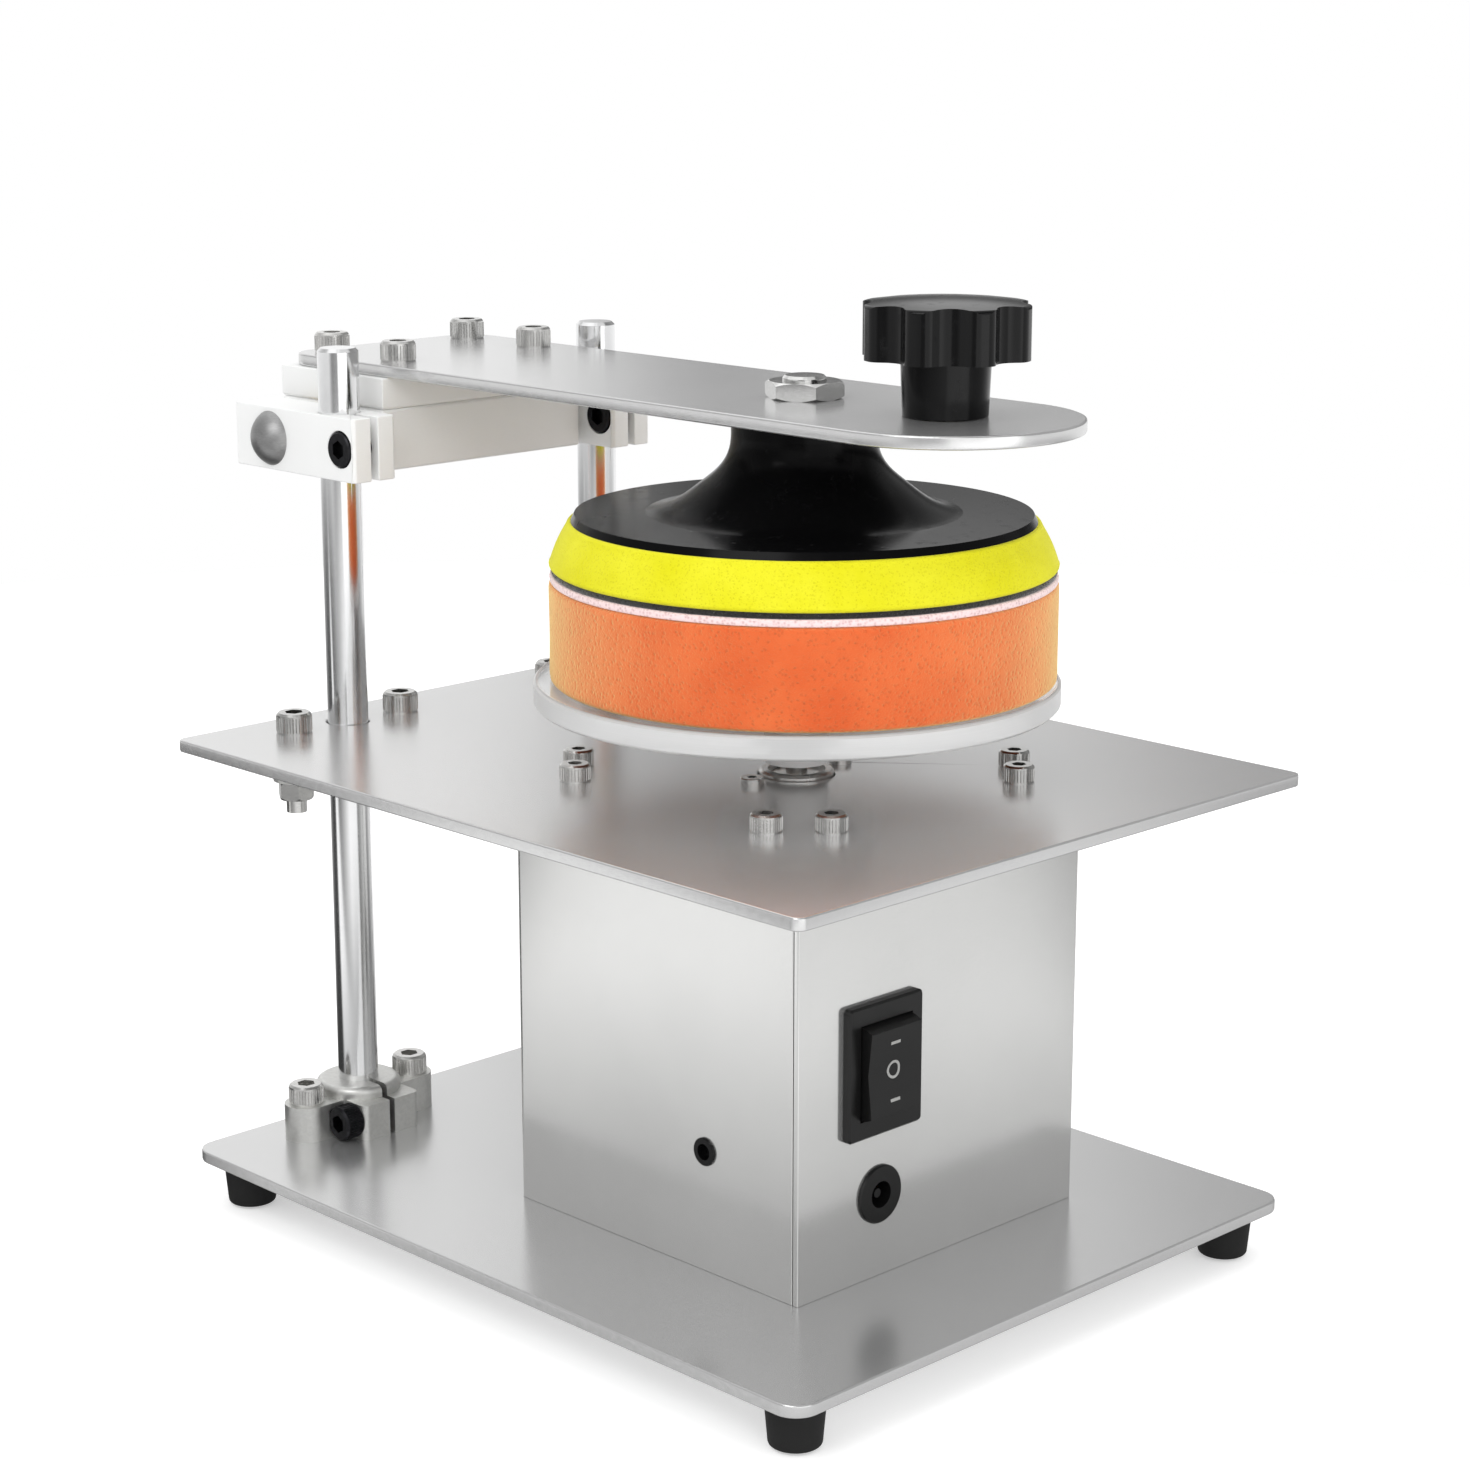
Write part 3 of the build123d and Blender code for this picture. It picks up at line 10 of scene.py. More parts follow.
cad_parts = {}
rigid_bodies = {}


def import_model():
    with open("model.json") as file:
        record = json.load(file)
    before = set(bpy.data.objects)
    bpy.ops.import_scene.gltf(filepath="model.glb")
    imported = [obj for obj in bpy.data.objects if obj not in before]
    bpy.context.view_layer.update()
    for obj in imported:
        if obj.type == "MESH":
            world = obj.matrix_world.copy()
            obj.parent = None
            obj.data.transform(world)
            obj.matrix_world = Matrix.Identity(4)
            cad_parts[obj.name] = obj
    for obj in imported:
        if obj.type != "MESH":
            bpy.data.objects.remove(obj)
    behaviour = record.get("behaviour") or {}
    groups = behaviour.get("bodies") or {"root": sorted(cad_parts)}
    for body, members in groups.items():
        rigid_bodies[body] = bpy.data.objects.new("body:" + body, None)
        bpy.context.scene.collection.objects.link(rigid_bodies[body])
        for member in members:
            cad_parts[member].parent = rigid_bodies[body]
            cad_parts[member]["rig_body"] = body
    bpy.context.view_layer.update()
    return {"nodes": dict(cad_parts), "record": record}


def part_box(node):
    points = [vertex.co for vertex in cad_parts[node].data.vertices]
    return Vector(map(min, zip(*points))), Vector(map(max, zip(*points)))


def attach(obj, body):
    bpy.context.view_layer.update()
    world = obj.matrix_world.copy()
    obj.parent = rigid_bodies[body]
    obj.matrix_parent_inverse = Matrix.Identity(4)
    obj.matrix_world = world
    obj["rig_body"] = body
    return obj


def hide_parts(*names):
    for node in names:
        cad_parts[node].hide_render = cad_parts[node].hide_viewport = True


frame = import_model()
scene = bpy.context.scene
slot_of = {part["node"]: part["material_slot"] for part in frame["record"]["subparts"]}
MM = 0.001
WELD = 1e-6  # metres; doubled points of a CAD node's loose triangles merge within it
WHITE = (1.0, 1.0, 1.0, 1.0)
RAYS = ("Is Camera Ray", "Is Glossy Ray", "Is Transmission Ray")
MIX_FACTOR, MIX_FIRST, MIX_SECOND, MIX_RESULT = 0, 6, 7, 2  # the Mix node's sockets for colours


# ---------------------------------------------------------------- shader wiring
class Wire:
    """One socket's output; sums with it add their Math nodes."""

    def __init__(self, board, socket):
        self.board = board
        self.socket = socket

    def sum(self, operation, *values):
        return self.board.node("ShaderNodeMath", {"operation": operation}, dict(enumerate(values)))

    def __add__(self, other):
        return self.sum("ADD", self, other)

    def __sub__(self, other):
        return self.sum("SUBTRACT", self, other)

    def __rsub__(self, other):
        return self.sum("SUBTRACT", other, self)

    def __mul__(self, other):
        return self.sum("MULTIPLY", self, other)

    def least(self, other):
        return self.sum("MINIMUM", self, other)

    def most(self, other):
        return self.sum("MAXIMUM", self, other)

    def over(self, low, high):
        """0 below low, 1 above high, even in between."""
        values = {"Value": self, "From Min": low, "From Max": high}
        return self.board.node("ShaderNodeMapRange", {"clamp": True}, values)

    __radd__ = __add__
    __rmul__ = __mul__


class Board:
    """A node tree of a finish or of the studio."""

    def __init__(self, tree):
        self.tree = tree

    def node(self, kind, settings=None, values=None, output=0):
        """Add a node: its settings first, then the values or links of its sockets."""
        made = self.tree.nodes.new(kind)
        for key, value in (settings or {}).items():
            setattr(made, key, value)
        for key, value in (values or {}).items():
            self.join(made.inputs[key], value)
        return Wire(self, made.outputs[output]) if made.outputs else None

    def outputs(self, kind, *names):
        """One node's outputs by name."""
        made = self.tree.nodes.new(kind)
        return [Wire(self, made.outputs[name]) for name in names]

    def join(self, socket, value):
        """Link a wire to a socket, or set the socket's own value."""
        if isinstance(value, Wire):
            self.tree.links.new(value.socket, socket)
        else:
            socket.default_value = value

    def place(self, stretch=(1.0, 1.0, 1.0), centre=(0.0, 0.0, 0.0)):
        """Object coordinates in metres about a centre, each axis with its own stretch."""
        coordinate = self.node("ShaderNodeTexCoord", output="Object")
        moved = self.node("ShaderNodeVectorMath", {"operation": "SUBTRACT"}, {0: coordinate, 1: centre})
        return self.node("ShaderNodeMapping", {"vector_type": "POINT"}, {"Vector": moved, "Scale": stretch})

    def grain(self, where, scale, detail=3.0, rough=0.5):
        """Cloudy noise; the scale is per metre."""
        values = {"Vector": where, "Scale": scale, "Detail": detail, "Roughness": rough}
        return self.node("ShaderNodeTexNoise", {}, values, "Fac")

    def axes(self, where):
        """The three parts of a vector."""
        split = self.node("ShaderNodeSeparateXYZ", {}, {0: where})
        return [Wire(self, socket) for socket in split.socket.node.outputs]

    def cells(self, where, scale):
        """The distance to the nearest of scattered points, for pores and tufts; the scale is per metre."""
        values = {"Vector": where, "Scale": scale, "Randomness": 1.0}
        return self.node("ShaderNodeTexVoronoi", {"feature": "F1"}, values, "Distance")

    def tint(self, amount, first, second):
        """A colour between two, by an amount from 0 to 1."""
        settings = {"data_type": "RGBA", "clamp_factor": True}
        first, second = [c if isinstance(c, Wire) else (*c, 1.0) for c in (first, second)]
        values = {MIX_FACTOR: amount, MIX_FIRST: first, MIX_SECOND: second}
        return self.node("ShaderNodeMix", settings, values, MIX_RESULT)

    def relief(self, height, depth):
        """A Bump node: depth is the height in metres that a value of 1 stands for."""
        return self.node("ShaderNodeBump", {}, {"Height": height, "Distance": depth, "Strength": 1.0})


class Finish(Board):
    """A material made with the Principled shader."""

    def __init__(self, name, **fixed):
        self.material = bpy.data.materials.new(name)
        self.material.use_nodes = True
        super().__init__(self.material.node_tree)
        self.shader = self.tree.nodes["Principled BSDF"]
        for key, value in fixed.items():
            self.set(key.replace("_", " ").title().replace("Ior", "IOR"), value)

    def set(self, name, value):
        """Set or link one of the shader's sockets."""
        self.join(self.shader.inputs[name], value)

    def blend(self, share, other):
        """Lay another shader over the Principled one, by a share from 0 to 1."""
        own = Wire(self, self.shader.outputs[0])
        mixed = self.node("ShaderNodeMixShader", {}, {0: share, 1: own, 2: other})
        self.join(self.tree.nodes["Material Output"].inputs["Surface"], mixed)


EVEN = (1.0, 1.0, 1.0)  # a grain that runs along no axis
TOOL_LINES, PATCHES, FINE_MARKS = 900.0, 28.0, 420.0  # scales of metal's grain, per metre


def metal(name, dark, light, rough, stretch, streak, wear, depth, bare=1.0):
    """Metal with tool lines across the stretched axes, faint patches and a few finer marks.

    streak is the lines' share of the colour, wear is how much the patches dull the gloss, depth is the
    relief in metres, and bare below 1 makes the metal partly matt.
    """
    f = Finish(name, Metallic=bare, Specular_IOR_Level=0.2)
    lines = f.grain(f.place(stretch), TOOL_LINES, 4.0, 0.65)
    clouds = f.grain(f.place(), PATCHES, 3.0)
    marks = f.grain(f.place(), FINE_MARKS, 6.0, 0.7)
    mixed = lines * streak + clouds * (1.0 - streak)
    f.set("Base Color", f.tint(mixed.over(0.34, 0.68), dark, light))
    dulled = lines * 0.10 * streak + clouds.over(0.35, 0.75) * wear * 0.3 + marks * 0.05
    f.set("Roughness", dulled + (rough - 0.05))
    f.set("Normal", f.relief(lines * 0.7 + marks * 0.3, depth))
    return f.material


def plastic(name, colour, worn, rough, gloss, depth=4e-6, scale=900.0):
    """Moulded plastic: fine skin, faint flow clouds and dust that dulls its gloss."""
    f = Finish(name, Specular_IOR_Level=gloss)
    skin = f.grain(f.place(), scale, 3.0)
    clouds = f.grain(f.place(), 45.0, 2.0)
    dust = f.grain(f.place(), 260.0, 7.0, 0.72).over(0.56, 0.78)
    f.set("Base Color", f.tint(clouds * 0.35 + dust * 0.5, colour, worn))
    f.set("Roughness", dust * 0.22 + clouds * 0.06 + rough)
    f.set("Normal", f.relief(skin, depth))
    return f.material


def sponge_finish(name, shade_colour, body, pale, haze, haze_weight, haze_width, pore, depth):
    """Open cell foam: round pores of two sizes with painted shade inside, paler skin between, a hazy outline.
    """
    rough = 0.95
    f = Finish(name, Sheen_Weight=haze_weight, Sheen_Roughness=haze_width, Specular_IOR_Level=0.2)
    f.set("Sheen Tint", (*haze, 1.0))
    place = f.place()
    wobble = f.node("ShaderNodeTexNoise", {}, {"Vector": place, "Scale": pore * 0.7, "Detail": 2.0}, "Color")
    bend = {0: wobble, 1: (0.6 / pore,) * 3, 2: place}
    bent = f.node("ShaderNodeVectorMath", {"operation": "MULTIPLY_ADD"}, bend)
    large = f.cells(bent, pore)
    small = f.cells(bent, pore * 2.3)
    holes = 1.0 - (large.over(0.18, 0.52) * 0.65 + small.over(0.15, 0.5) * 0.35)
    clouds = f.grain(place, 60.0, 4.0, 0.6)
    skin = f.tint(clouds.over(0.35, 0.7), body, pale)
    # painted shade: the pores' insides take the darker first colour, standing in for shade in the recesses
    f.set("Base Color", f.tint(holes.over(0.35, 1.0) * 0.6, skin, shade_colour))
    f.set("Roughness", holes * 0.05 + (rough - 0.05))
    f.set("Normal", f.relief(1.0 - holes, depth))
    return f.material


def pile_finish(name, shade_colour, pale, scale, depth):
    """Short pile of a hook or loop layer: crossed threads with painted shade in the gaps between."""
    rough = 0.9
    f = Finish(name, Sheen_Weight=0.5, Sheen_Roughness=0.5, Specular_IOR_Level=0.3)
    tufts = f.cells(f.place(), scale).over(0.1, 0.6)
    threads = f.grain(f.place((1.0, 1.0, 3.0)), scale * 0.5, 4.0, 0.7)
    fuzz = tufts * 0.6 + threads * 0.5
    # painted shade: the gaps between tufts and threads take the darker first colour
    f.set("Base Color", f.tint(fuzz.over(0.2, 0.85), shade_colour, pale))
    f.set("Roughness", threads * 0.1 + (rough - 0.1))
    f.set("Normal", f.relief(fuzz, depth))
    return f.material


def acrylic_finish(name):
    """Clear acrylic whose sawn rim is frosted, with fine wipe marks on its faces."""
    acrylic_ior, rim_share = 1.49, 0.85
    f = Finish(name, Transmission_Weight=1.0, IOR=acrylic_ior)
    low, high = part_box("turntable_disc")
    middle = (low + high) / 2
    rim = high.x - middle.x
    from_middle = f.place(centre=tuple(middle))
    radius = f.node("ShaderNodeVectorMath", {"operation": "LENGTH"}, {0: from_middle}, "Value")
    edge = radius.over(rim - 0.0012, rim - 0.0002)
    wipes = f.grain(f.place((1.0, 7.0, 1.0)), 300.0, 5.0, 0.7)
    lines = f.grain(f.place((0.2, 0.2, 30.0)), 240.0, 2.0)
    f.set("Base Color", (0.985, 0.99, 0.99, 1.0))
    f.set("Roughness", wipes.over(0.55, 0.8) * 0.05 + 0.02)
    f.set("Normal", f.relief(wipes * 0.2, 3e-6))
    frost = f.node("ShaderNodeBsdfPrincipled", {}, {
        "Roughness": lines * 0.2 + 0.3, "IOR": acrylic_ior,
        "Base Color": f.tint(lines, (0.86, 0.87, 0.87), (0.96, 0.965, 0.965)),
        "Normal": f.relief(lines, 8e-6)})
    frost.socket.node.inputs["Transmission Weight"].default_value = 0.35
    f.blend(edge * rim_share, frost)
    return f.material


finishes = {
    "sheet_aluminium": metal(
        "brushed_plate", (0.68, 0.68, 0.68), (0.76, 0.76, 0.76), rough=0.22, stretch=(40.0, 0.5, 1.0),
        streak=0.85, wear=0.04, depth=5e-7, bare=0.8),
    "milled_aluminium": metal(
        "milled_block", (0.84, 0.845, 0.84), (0.91, 0.915, 0.91), rough=0.42, stretch=(1.0, 22.0, 22.0),
        streak=0.5, wear=0.25, depth=2e-6, bare=0.1),
    "polished_steel": metal(
        "polished_rod", (0.80, 0.805, 0.81), (0.92, 0.92, 0.925), rough=0.17, stretch=(0.4, 0.4, 16.0),
        streak=0.3, wear=0.05, depth=4e-7),
    "bright_steel": metal(
        "bright_screw", (0.50, 0.50, 0.49), (0.84, 0.83, 0.81), rough=0.20, stretch=(1.0, 1.0, 8.0),
        streak=0.4, wear=0.5, depth=4e-6),
    # black_oxide also dresses the turntable hub through its slot: there it is a dark finish standing in for
    # the shade under the turntable
    "black_steel": metal(
        "black_oxide", (0.012, 0.012, 0.014), (0.05, 0.05, 0.054), rough=0.36, stretch=EVEN,
        streak=0.4, wear=0.4, depth=5e-6),
    "cast_grey": metal(
        "cast_flange", (0.62, 0.62, 0.60), (0.88, 0.88, 0.86), rough=0.40, stretch=EVEN,
        streak=0.3, wear=0.5, depth=1.6e-5),
    "copper": metal(
        "wound_copper", (0.55, 0.22, 0.10), (0.78, 0.40, 0.22), rough=0.30, stretch=(1.0, 1.0, 14.0),
        streak=0.7, wear=0.3, depth=8e-6),
    "brass": metal(
        "turned_brass", (0.60, 0.42, 0.15), (0.80, 0.62, 0.28), rough=0.28, stretch=(14.0, 1.0, 1.0),
        streak=0.6, wear=0.3, depth=3e-6),
    "black_rubber": plastic(
        "foot_rubber", (0.008, 0.008, 0.008), (0.03, 0.03, 0.03), rough=0.62, gloss=0.3,
        depth=1.4e-5, scale=1400.0),
    "black_plastic": plastic(
        "black_moulding", (0.003, 0.003, 0.0032), (0.010, 0.010, 0.0105), rough=0.13, gloss=0.25),
    "clear_acrylic": acrylic_finish("turntable_acrylic"),
    # the first colour of each tape is the painted shade in the gaps of its pile
    "hook_fabric": pile_finish(
        "hook_tape", (0.002, 0.002, 0.002), (0.014, 0.014, 0.014), scale=1500.0, depth=1.2e-4),
    "loop_fabric": pile_finish(
        "loop_tape", (0.62, 0.42, 0.42), (0.90, 0.70, 0.70), scale=1300.0, depth=1.2e-4),
    # the first colour of each foam is the painted shade inside its pores
    "yellow_foam": sponge_finish(
        "yellow_foam", (0.50, 0.44, 0.004), (0.69, 0.655, 0.007), (0.76, 0.73, 0.025),
        haze=(0.9, 0.9, 0.35), haze_weight=0.3, haze_width=0.4, pore=1500.0, depth=8e-5),
    "orange_sponge": sponge_finish(
        "orange_sponge", (0.42, 0.032, 0.003), (0.66, 0.062, 0.006), (0.75, 0.108, 0.022),
        haze=(1.0, 0.92, 0.42), haze_weight=1.0, haze_width=0.62, pore=900.0, depth=1.6e-4),
}
housing_finish = metal(
    "satin_housing", (0.74, 0.74, 0.73), (0.82, 0.82, 0.81), rough=0.15, stretch=(1.0, 1.0, 14.0),
    streak=0.5, wear=0.10, depth=1.5e-6, bare=0.85)
knob_finish = plastic("knob_moulding", (0.003, 0.003, 0.0032), (0.010, 0.010, 0.0105), rough=0.14, gloss=0.2)
backing_finish = plastic(
    "backing_moulding", (0.002, 0.002, 0.0022), (0.007, 0.007, 0.0075), rough=0.16, gloss=0.08)
pin_finish = metal(
    "pin_head", (0.32, 0.32, 0.32), (0.50, 0.50, 0.50), rough=0.42, stretch=(1.0, 1.0, 4.0),
    streak=0.4, wear=0.3, depth=2e-6)
mark_finish = plastic("mark_paint", (0.34, 0.34, 0.33), (0.46, 0.46, 0.45), rough=0.5, gloss=0.3)
switch_finish = plastic(
    "switch_moulding", (0.004, 0.004, 0.004), (0.014, 0.014, 0.014), rough=0.26, gloss=0.35,
    depth=6e-6, scale=700.0)
nut_finish = metal(
    "turned_nut", (0.62, 0.62, 0.61), (0.86, 0.86, 0.85), rough=0.13, stretch=(1.0, 1.0, 4.0),
    streak=0.4, wear=0.3, depth=2e-6)
own_finishes = {
    "housing_wrap": housing_finish, "front_panel": housing_finish, "switch_body": switch_finish,
    "switch_rocker": switch_finish, "power_jack": switch_finish, "spindle_nut": nut_finish,
    "spindle_bolt": nut_finish, "hinge_pin": pin_finish, "star_knob": knob_finish,
    "backing_plate": backing_finish,
}


def finish_of(node):
    """A node's own finish, or its material slot's."""
    return own_finishes.get(node, finishes[slot_of[node]])


for node, obj in frame["nodes"].items():
    obj.data.materials.clear()
    obj.data.materials.append(finish_of(node))


# ---------------------------------------------------------------- piece making
def add_piece(name, mesh, body, finish, stands_for=(), crease=32.0):
    """Put a finished mesh into the scene on its body, with its finish and the node it stands for."""
    mesh.name = name
    mesh.materials.clear()
    mesh.materials.append(finish)
    if crease:
        mesh.polygons.foreach_set("use_smooth", [True] * len(mesh.polygons))
        mesh.set_sharp_from_angle(angle=math.radians(crease))
    obj = bpy.data.objects.new(name, mesh)
    scene.collection.objects.link(obj)
    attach(obj, body)
    if stands_for:
        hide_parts(*stands_for)
    return obj


def turned(name, profile, centre, steps):
    """A mesh turned round the vertical through centre, from (radius, height) points.

    It is closed where the profile starts and ends on the axis.
    """
    bm = bmesh.new()
    rings = []
    for radius, height in profile:
        if radius == 0:
            rings.append([bm.verts.new((centre[0], centre[1], height))] * steps)
            continue
        ring = []
        for step in range(steps):
            angle = math.tau * step / steps
            ring.append(bm.verts.new((
                centre[0] + radius * math.cos(angle), centre[1] + radius * math.sin(angle), height)))
        rings.append(ring)
    for low, high in zip(rings, rings[1:]):
        for step in range(steps):
            after = (step + 1) % steps
            corners = [low[step], low[after], high[after], high[step]]
            bm.faces.new(list(dict.fromkeys(corners)))
    mesh = bpy.data.meshes.new(name)
    bm.to_mesh(mesh)
    bm.free()
    return mesh


def arc(centre, radius, start, end, steps):
    """Points of a rounded edge as (radius, height), angles in degrees."""
    points = []
    for step in range(steps + 1):
        angle = math.radians(start + (end - start) * step / steps)
        points.append((centre[0] + radius * math.cos(angle), centre[1] + radius * math.sin(angle)))
    return points


def between(start, end, steps):
    """Points along a straight flank, without its two ends."""
    return [tuple(a + (b - a) * i / steps for a, b in zip(start, end)) for i in range(1, steps)]


def uneven(mesh, centre, size, reach, low, high):
    """Press a cut foam's flank in a little, by up to reach, never past its turned outline."""
    core = 0.02  # metres from the axis; the layer's middle isn't pressed
    for vertex in mesh.vertices:
        out = Vector((vertex.co.x - centre[0], vertex.co.y - centre[1], 0.0))
        if out.length < core or not low < vertex.co.z < high:
            continue
        press = noise.noise(vertex.co / size) * 0.5 + 0.5
        vertex.co -= out.normalized() * press * reach


def eased(node, width):
    """A copy of a CAD node with its sharp edges broken, standing for the node."""
    rounds, sharp_angle, flat_angle = 2, 32.0, 0.5
    source = frame["nodes"][node]
    bm = bmesh.new()
    bm.from_mesh(source.data)
    bmesh.ops.remove_doubles(bm, verts=bm.verts, dist=WELD)
    bmesh.ops.dissolve_limit(bm, angle_limit=math.radians(flat_angle), verts=bm.verts, edges=bm.edges)
    points = [tuple(vertex.co) for vertex in bm.verts]
    bm.verts.index_update()
    loops = [[vertex.index for vertex in face.verts] for face in bm.faces]
    bm.free()
    plain = bpy.data.meshes.new(node + "_plain")
    plain.from_pydata(points, [], loops)
    holder = bpy.data.objects.new(node + "_plain", plain)
    scene.collection.objects.link(holder)
    bevel = holder.modifiers.new("edge", "BEVEL")
    bevel.width = width
    bevel.segments = rounds
    bevel.limit_method = "ANGLE"
    bevel.angle_limit = math.radians(sharp_angle)
    bevel.use_clamp_overlap = False
    bevel.miter_outer = "MITER_ARC"
    plain.polygons.foreach_set("use_smooth", [True] * len(plain.polygons))
    weigh = holder.modifiers.new("weigh", "WEIGHTED_NORMAL")
    weigh.mode = "FACE_AREA"
    weigh.weight = 100
    mesh = made_plain(holder)
    add_piece(node + "_eased", mesh, source["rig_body"], finish_of(node), (node,), crease=None)


def made_plain(holder):
    """The evaluated object as a plain mesh of its own; the holder goes."""
    bpy.context.view_layer.update()
    graph = bpy.context.evaluated_depsgraph_get()
    mesh = bpy.data.meshes.new_from_object(holder.evaluated_get(graph))
    data = holder.data
    bpy.data.objects.remove(holder)
    bpy.data.meshes.remove(data)
    return mesh


# ---------------------------------------------------------------- repeated pieces
class Repeat(Board):
    """A Geometry Nodes tree with named inputs."""

    def __init__(self, name):
        group = bpy.data.node_groups.new(name, "GeometryNodeTree")
        super().__init__(group)
        self.sizes = {}
        group.interface.new_socket("Geometry", in_out="OUTPUT", socket_type="NodeSocketGeometry")
        self.ins = group.nodes.new("NodeGroupInput")
        self.outs = group.nodes.new("NodeGroupOutput")

    def size(self, name, value, kind="Float"):
        """A named input with its value; links of the tree read it."""
        socket = self.tree.interface.new_socket(name, in_out="INPUT", socket_type="NodeSocket" + kind)
        self.sizes[socket.identifier] = value
        return Wire(self, self.ins.outputs[name])

    def made(self, shape, finish):
        """Run the tree to its end and give back one plain mesh."""
        real = self.node("GeometryNodeRealizeInstances", {}, {0: shape})
        done = self.node("GeometryNodeSetMaterial", {}, {"Geometry": real, "Material": finish})
        self.join(self.outs.inputs[0], done)
        blank = bpy.data.meshes.new(self.tree.name)
        holder = bpy.data.objects.new(self.tree.name, blank)
        scene.collection.objects.link(holder)
        modifier = holder.modifiers.new("repeat", "NODES")
        modifier.node_group = self.tree
        for identifier, value in self.sizes.items():
            modifier[identifier] = value
        return made_plain(holder)


def pile(name, node, count, size, wire, seed, finish, lean):
    """Short loops of thread that stand out all round the edge of a hook or loop layer."""
    low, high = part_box(node)
    middle = (low + high) / 2
    r = Repeat(name)
    number = r.size("Threads", count, "Int")
    radius = r.size("Layer radius", high.x - middle.x - size * 0.75)
    thick = r.size("Layer thickness", (high.z - low.z) * 0.6)
    loop = r.size("Loop size", size)
    gauge = r.size("Thread radius", wire)
    start = r.size("Seed", seed, "Int")
    ring = r.node("GeometryNodeMeshCircle", {}, {"Vertices": number, "Radius": radius})
    jitter = r.node("FunctionNodeRandomValue", {"data_type": "FLOAT"},
                    {"Min": -0.5, "Max": 0.5, "Seed": start}, 1)
    lift = r.node("ShaderNodeCombineXYZ", {}, {"Z": jitter * thick})
    ring = r.node("GeometryNodeSetPosition", {}, {"Geometry": ring, "Offset": lift})
    bow = r.node("GeometryNodeCurveArc", {"mode": "RADIUS"},
                 {"Resolution": 6, "Radius": loop, "Start Angle": 0.0, "Sweep Angle": lean}, 0)
    section = r.node("GeometryNodeCurvePrimitiveCircle", {}, {"Resolution": 4, "Radius": gauge})
    thread = r.node("GeometryNodeCurveToMesh", {}, {0: bow, 1: section, "Fill Caps": True})
    position = r.node("GeometryNodeInputPosition")
    flat = r.node("ShaderNodeVectorMath", {"operation": "MULTIPLY"}, {0: position, 1: (1.0, 1.0, 0.0)})
    outward = r.node("FunctionNodeAlignRotationToVector", {"axis": "X"}, {"Vector": flat})
    twist = r.node("FunctionNodeRandomValue", {"data_type": "FLOAT_VECTOR"},
                   {"Min": (-1.5, -0.5, -0.6), "Max": (1.5, 0.5, 0.6), "Seed": start}, 0)
    turn = r.node("FunctionNodeRotateRotation", {"rotation_space": "LOCAL"},
                  {"Rotation": outward, "Rotate By": r.node("FunctionNodeEulerToRotation", {}, {0: twist})})
    shrink = r.node("FunctionNodeRandomValue", {"data_type": "FLOAT"}, {2: 0.6, 3: 1.0, "Seed": start}, 1)
    spread = r.node("GeometryNodeInstanceOnPoints", {},
                    {"Points": ring, "Instance": thread, "Rotation": turn, "Scale": shrink})
    set_down = r.node("GeometryNodeTransform", {}, {"Geometry": spread, "Translation": tuple(middle)})
    return r.made(set_down, finish)


def knurl(name, seats, tilt, radius, height, ribs, body, slot):
    """Fine ribs round the heads of socket screws, from the seat up, on each seat of one kind."""
    rib_share, rib_foot = 0.74, 0.08  # the ribs' height and foot, as shares of the head's height
    rib_width, rib_sunk = 0.52, 0.62  # a rib's share of their spacing, and how much is inside the head
    cloud = bpy.data.meshes.new(name + "_seats")
    cloud.from_pydata([tuple(seat) for seat in seats], [], [])
    spots = bpy.data.objects.new(name + "_seats", cloud)
    scene.collection.objects.link(spots)
    r = Repeat(name)
    around = r.size("Ribs", ribs, "Int")
    reach = r.size("Head radius", radius)
    tall = r.size("Rib height", height * rib_share)
    rib = r.size("Rib size", math.tau * radius / ribs * rib_width)
    ring = r.node("GeometryNodeMeshCircle", {}, {"Vertices": around, "Radius": reach - rib * rib_sunk})
    bar = r.node("GeometryNodeMeshCylinder", {}, {"Vertices": 3, "Radius": rib, "Depth": tall})
    position = r.node("GeometryNodeInputPosition")
    outward = r.node("FunctionNodeAlignRotationToVector", {"axis": "X"}, {"Vector": position})
    crown = r.node("GeometryNodeInstanceOnPoints", {}, {"Points": ring, "Instance": bar, "Rotation": outward})
    lift = r.node("ShaderNodeCombineXYZ", {}, {"Z": tall * 0.5 + height * rib_foot})
    crown = r.node("GeometryNodeTransform", {}, {"Geometry": crown, "Translation": lift})
    place = r.node("GeometryNodeObjectInfo", {}, {"Object": spots}, "Geometry")
    spread = r.node("GeometryNodeInstanceOnPoints", {},
                    {"Points": place, "Instance": crown, "Rotation": tilt})
    mesh = r.made(spread, finishes[slot])
    bpy.data.objects.remove(spots)
    add_piece(name, mesh, body, finishes[slot], crease=20.0)


def loose_boxes(node):
    """The corners of each loose piece of a CAD node, such as each screw of a set."""
    bm = bmesh.new()
    bm.from_mesh(frame["nodes"][node].data)
    bmesh.ops.remove_doubles(bm, verts=bm.verts, dist=WELD)
    boxes = []
    left = set(bm.verts)
    while left:
        reached = [left.pop()]
        for vertex in reached:
            for edge in vertex.link_edges:
                other = edge.other_vert(vertex)
                if other in left:
                    left.discard(other)
                    reached.append(other)
        low = Vector([min(vertex.co[i] for vertex in reached) for i in range(3)])
        high = Vector([max(vertex.co[i] for vertex in reached) for i in range(3)])
        boxes.append((low, high))
    bm.free()
    return boxes


def head_seats(node, tall, way):
    """Where the heads of a screw set sit, for heads that point up, left or right."""
    seats = []
    for low, high in loose_boxes(node):
        middle = (low + high) / 2
        if way == "up":
            seats.append((middle.x, middle.y, high.z - tall))
        elif way == "left":
            seats.append((low.x + tall, middle.y, middle.z))
        else:
            seats.append((high.x - tall, middle.y, middle.z))
    return seats


UP, TO_LEFT, TO_RIGHT = (0.0, 0.0, 0.0), (0.0, -math.pi / 2, 0.0), (0.0, math.pi / 2, 0.0)
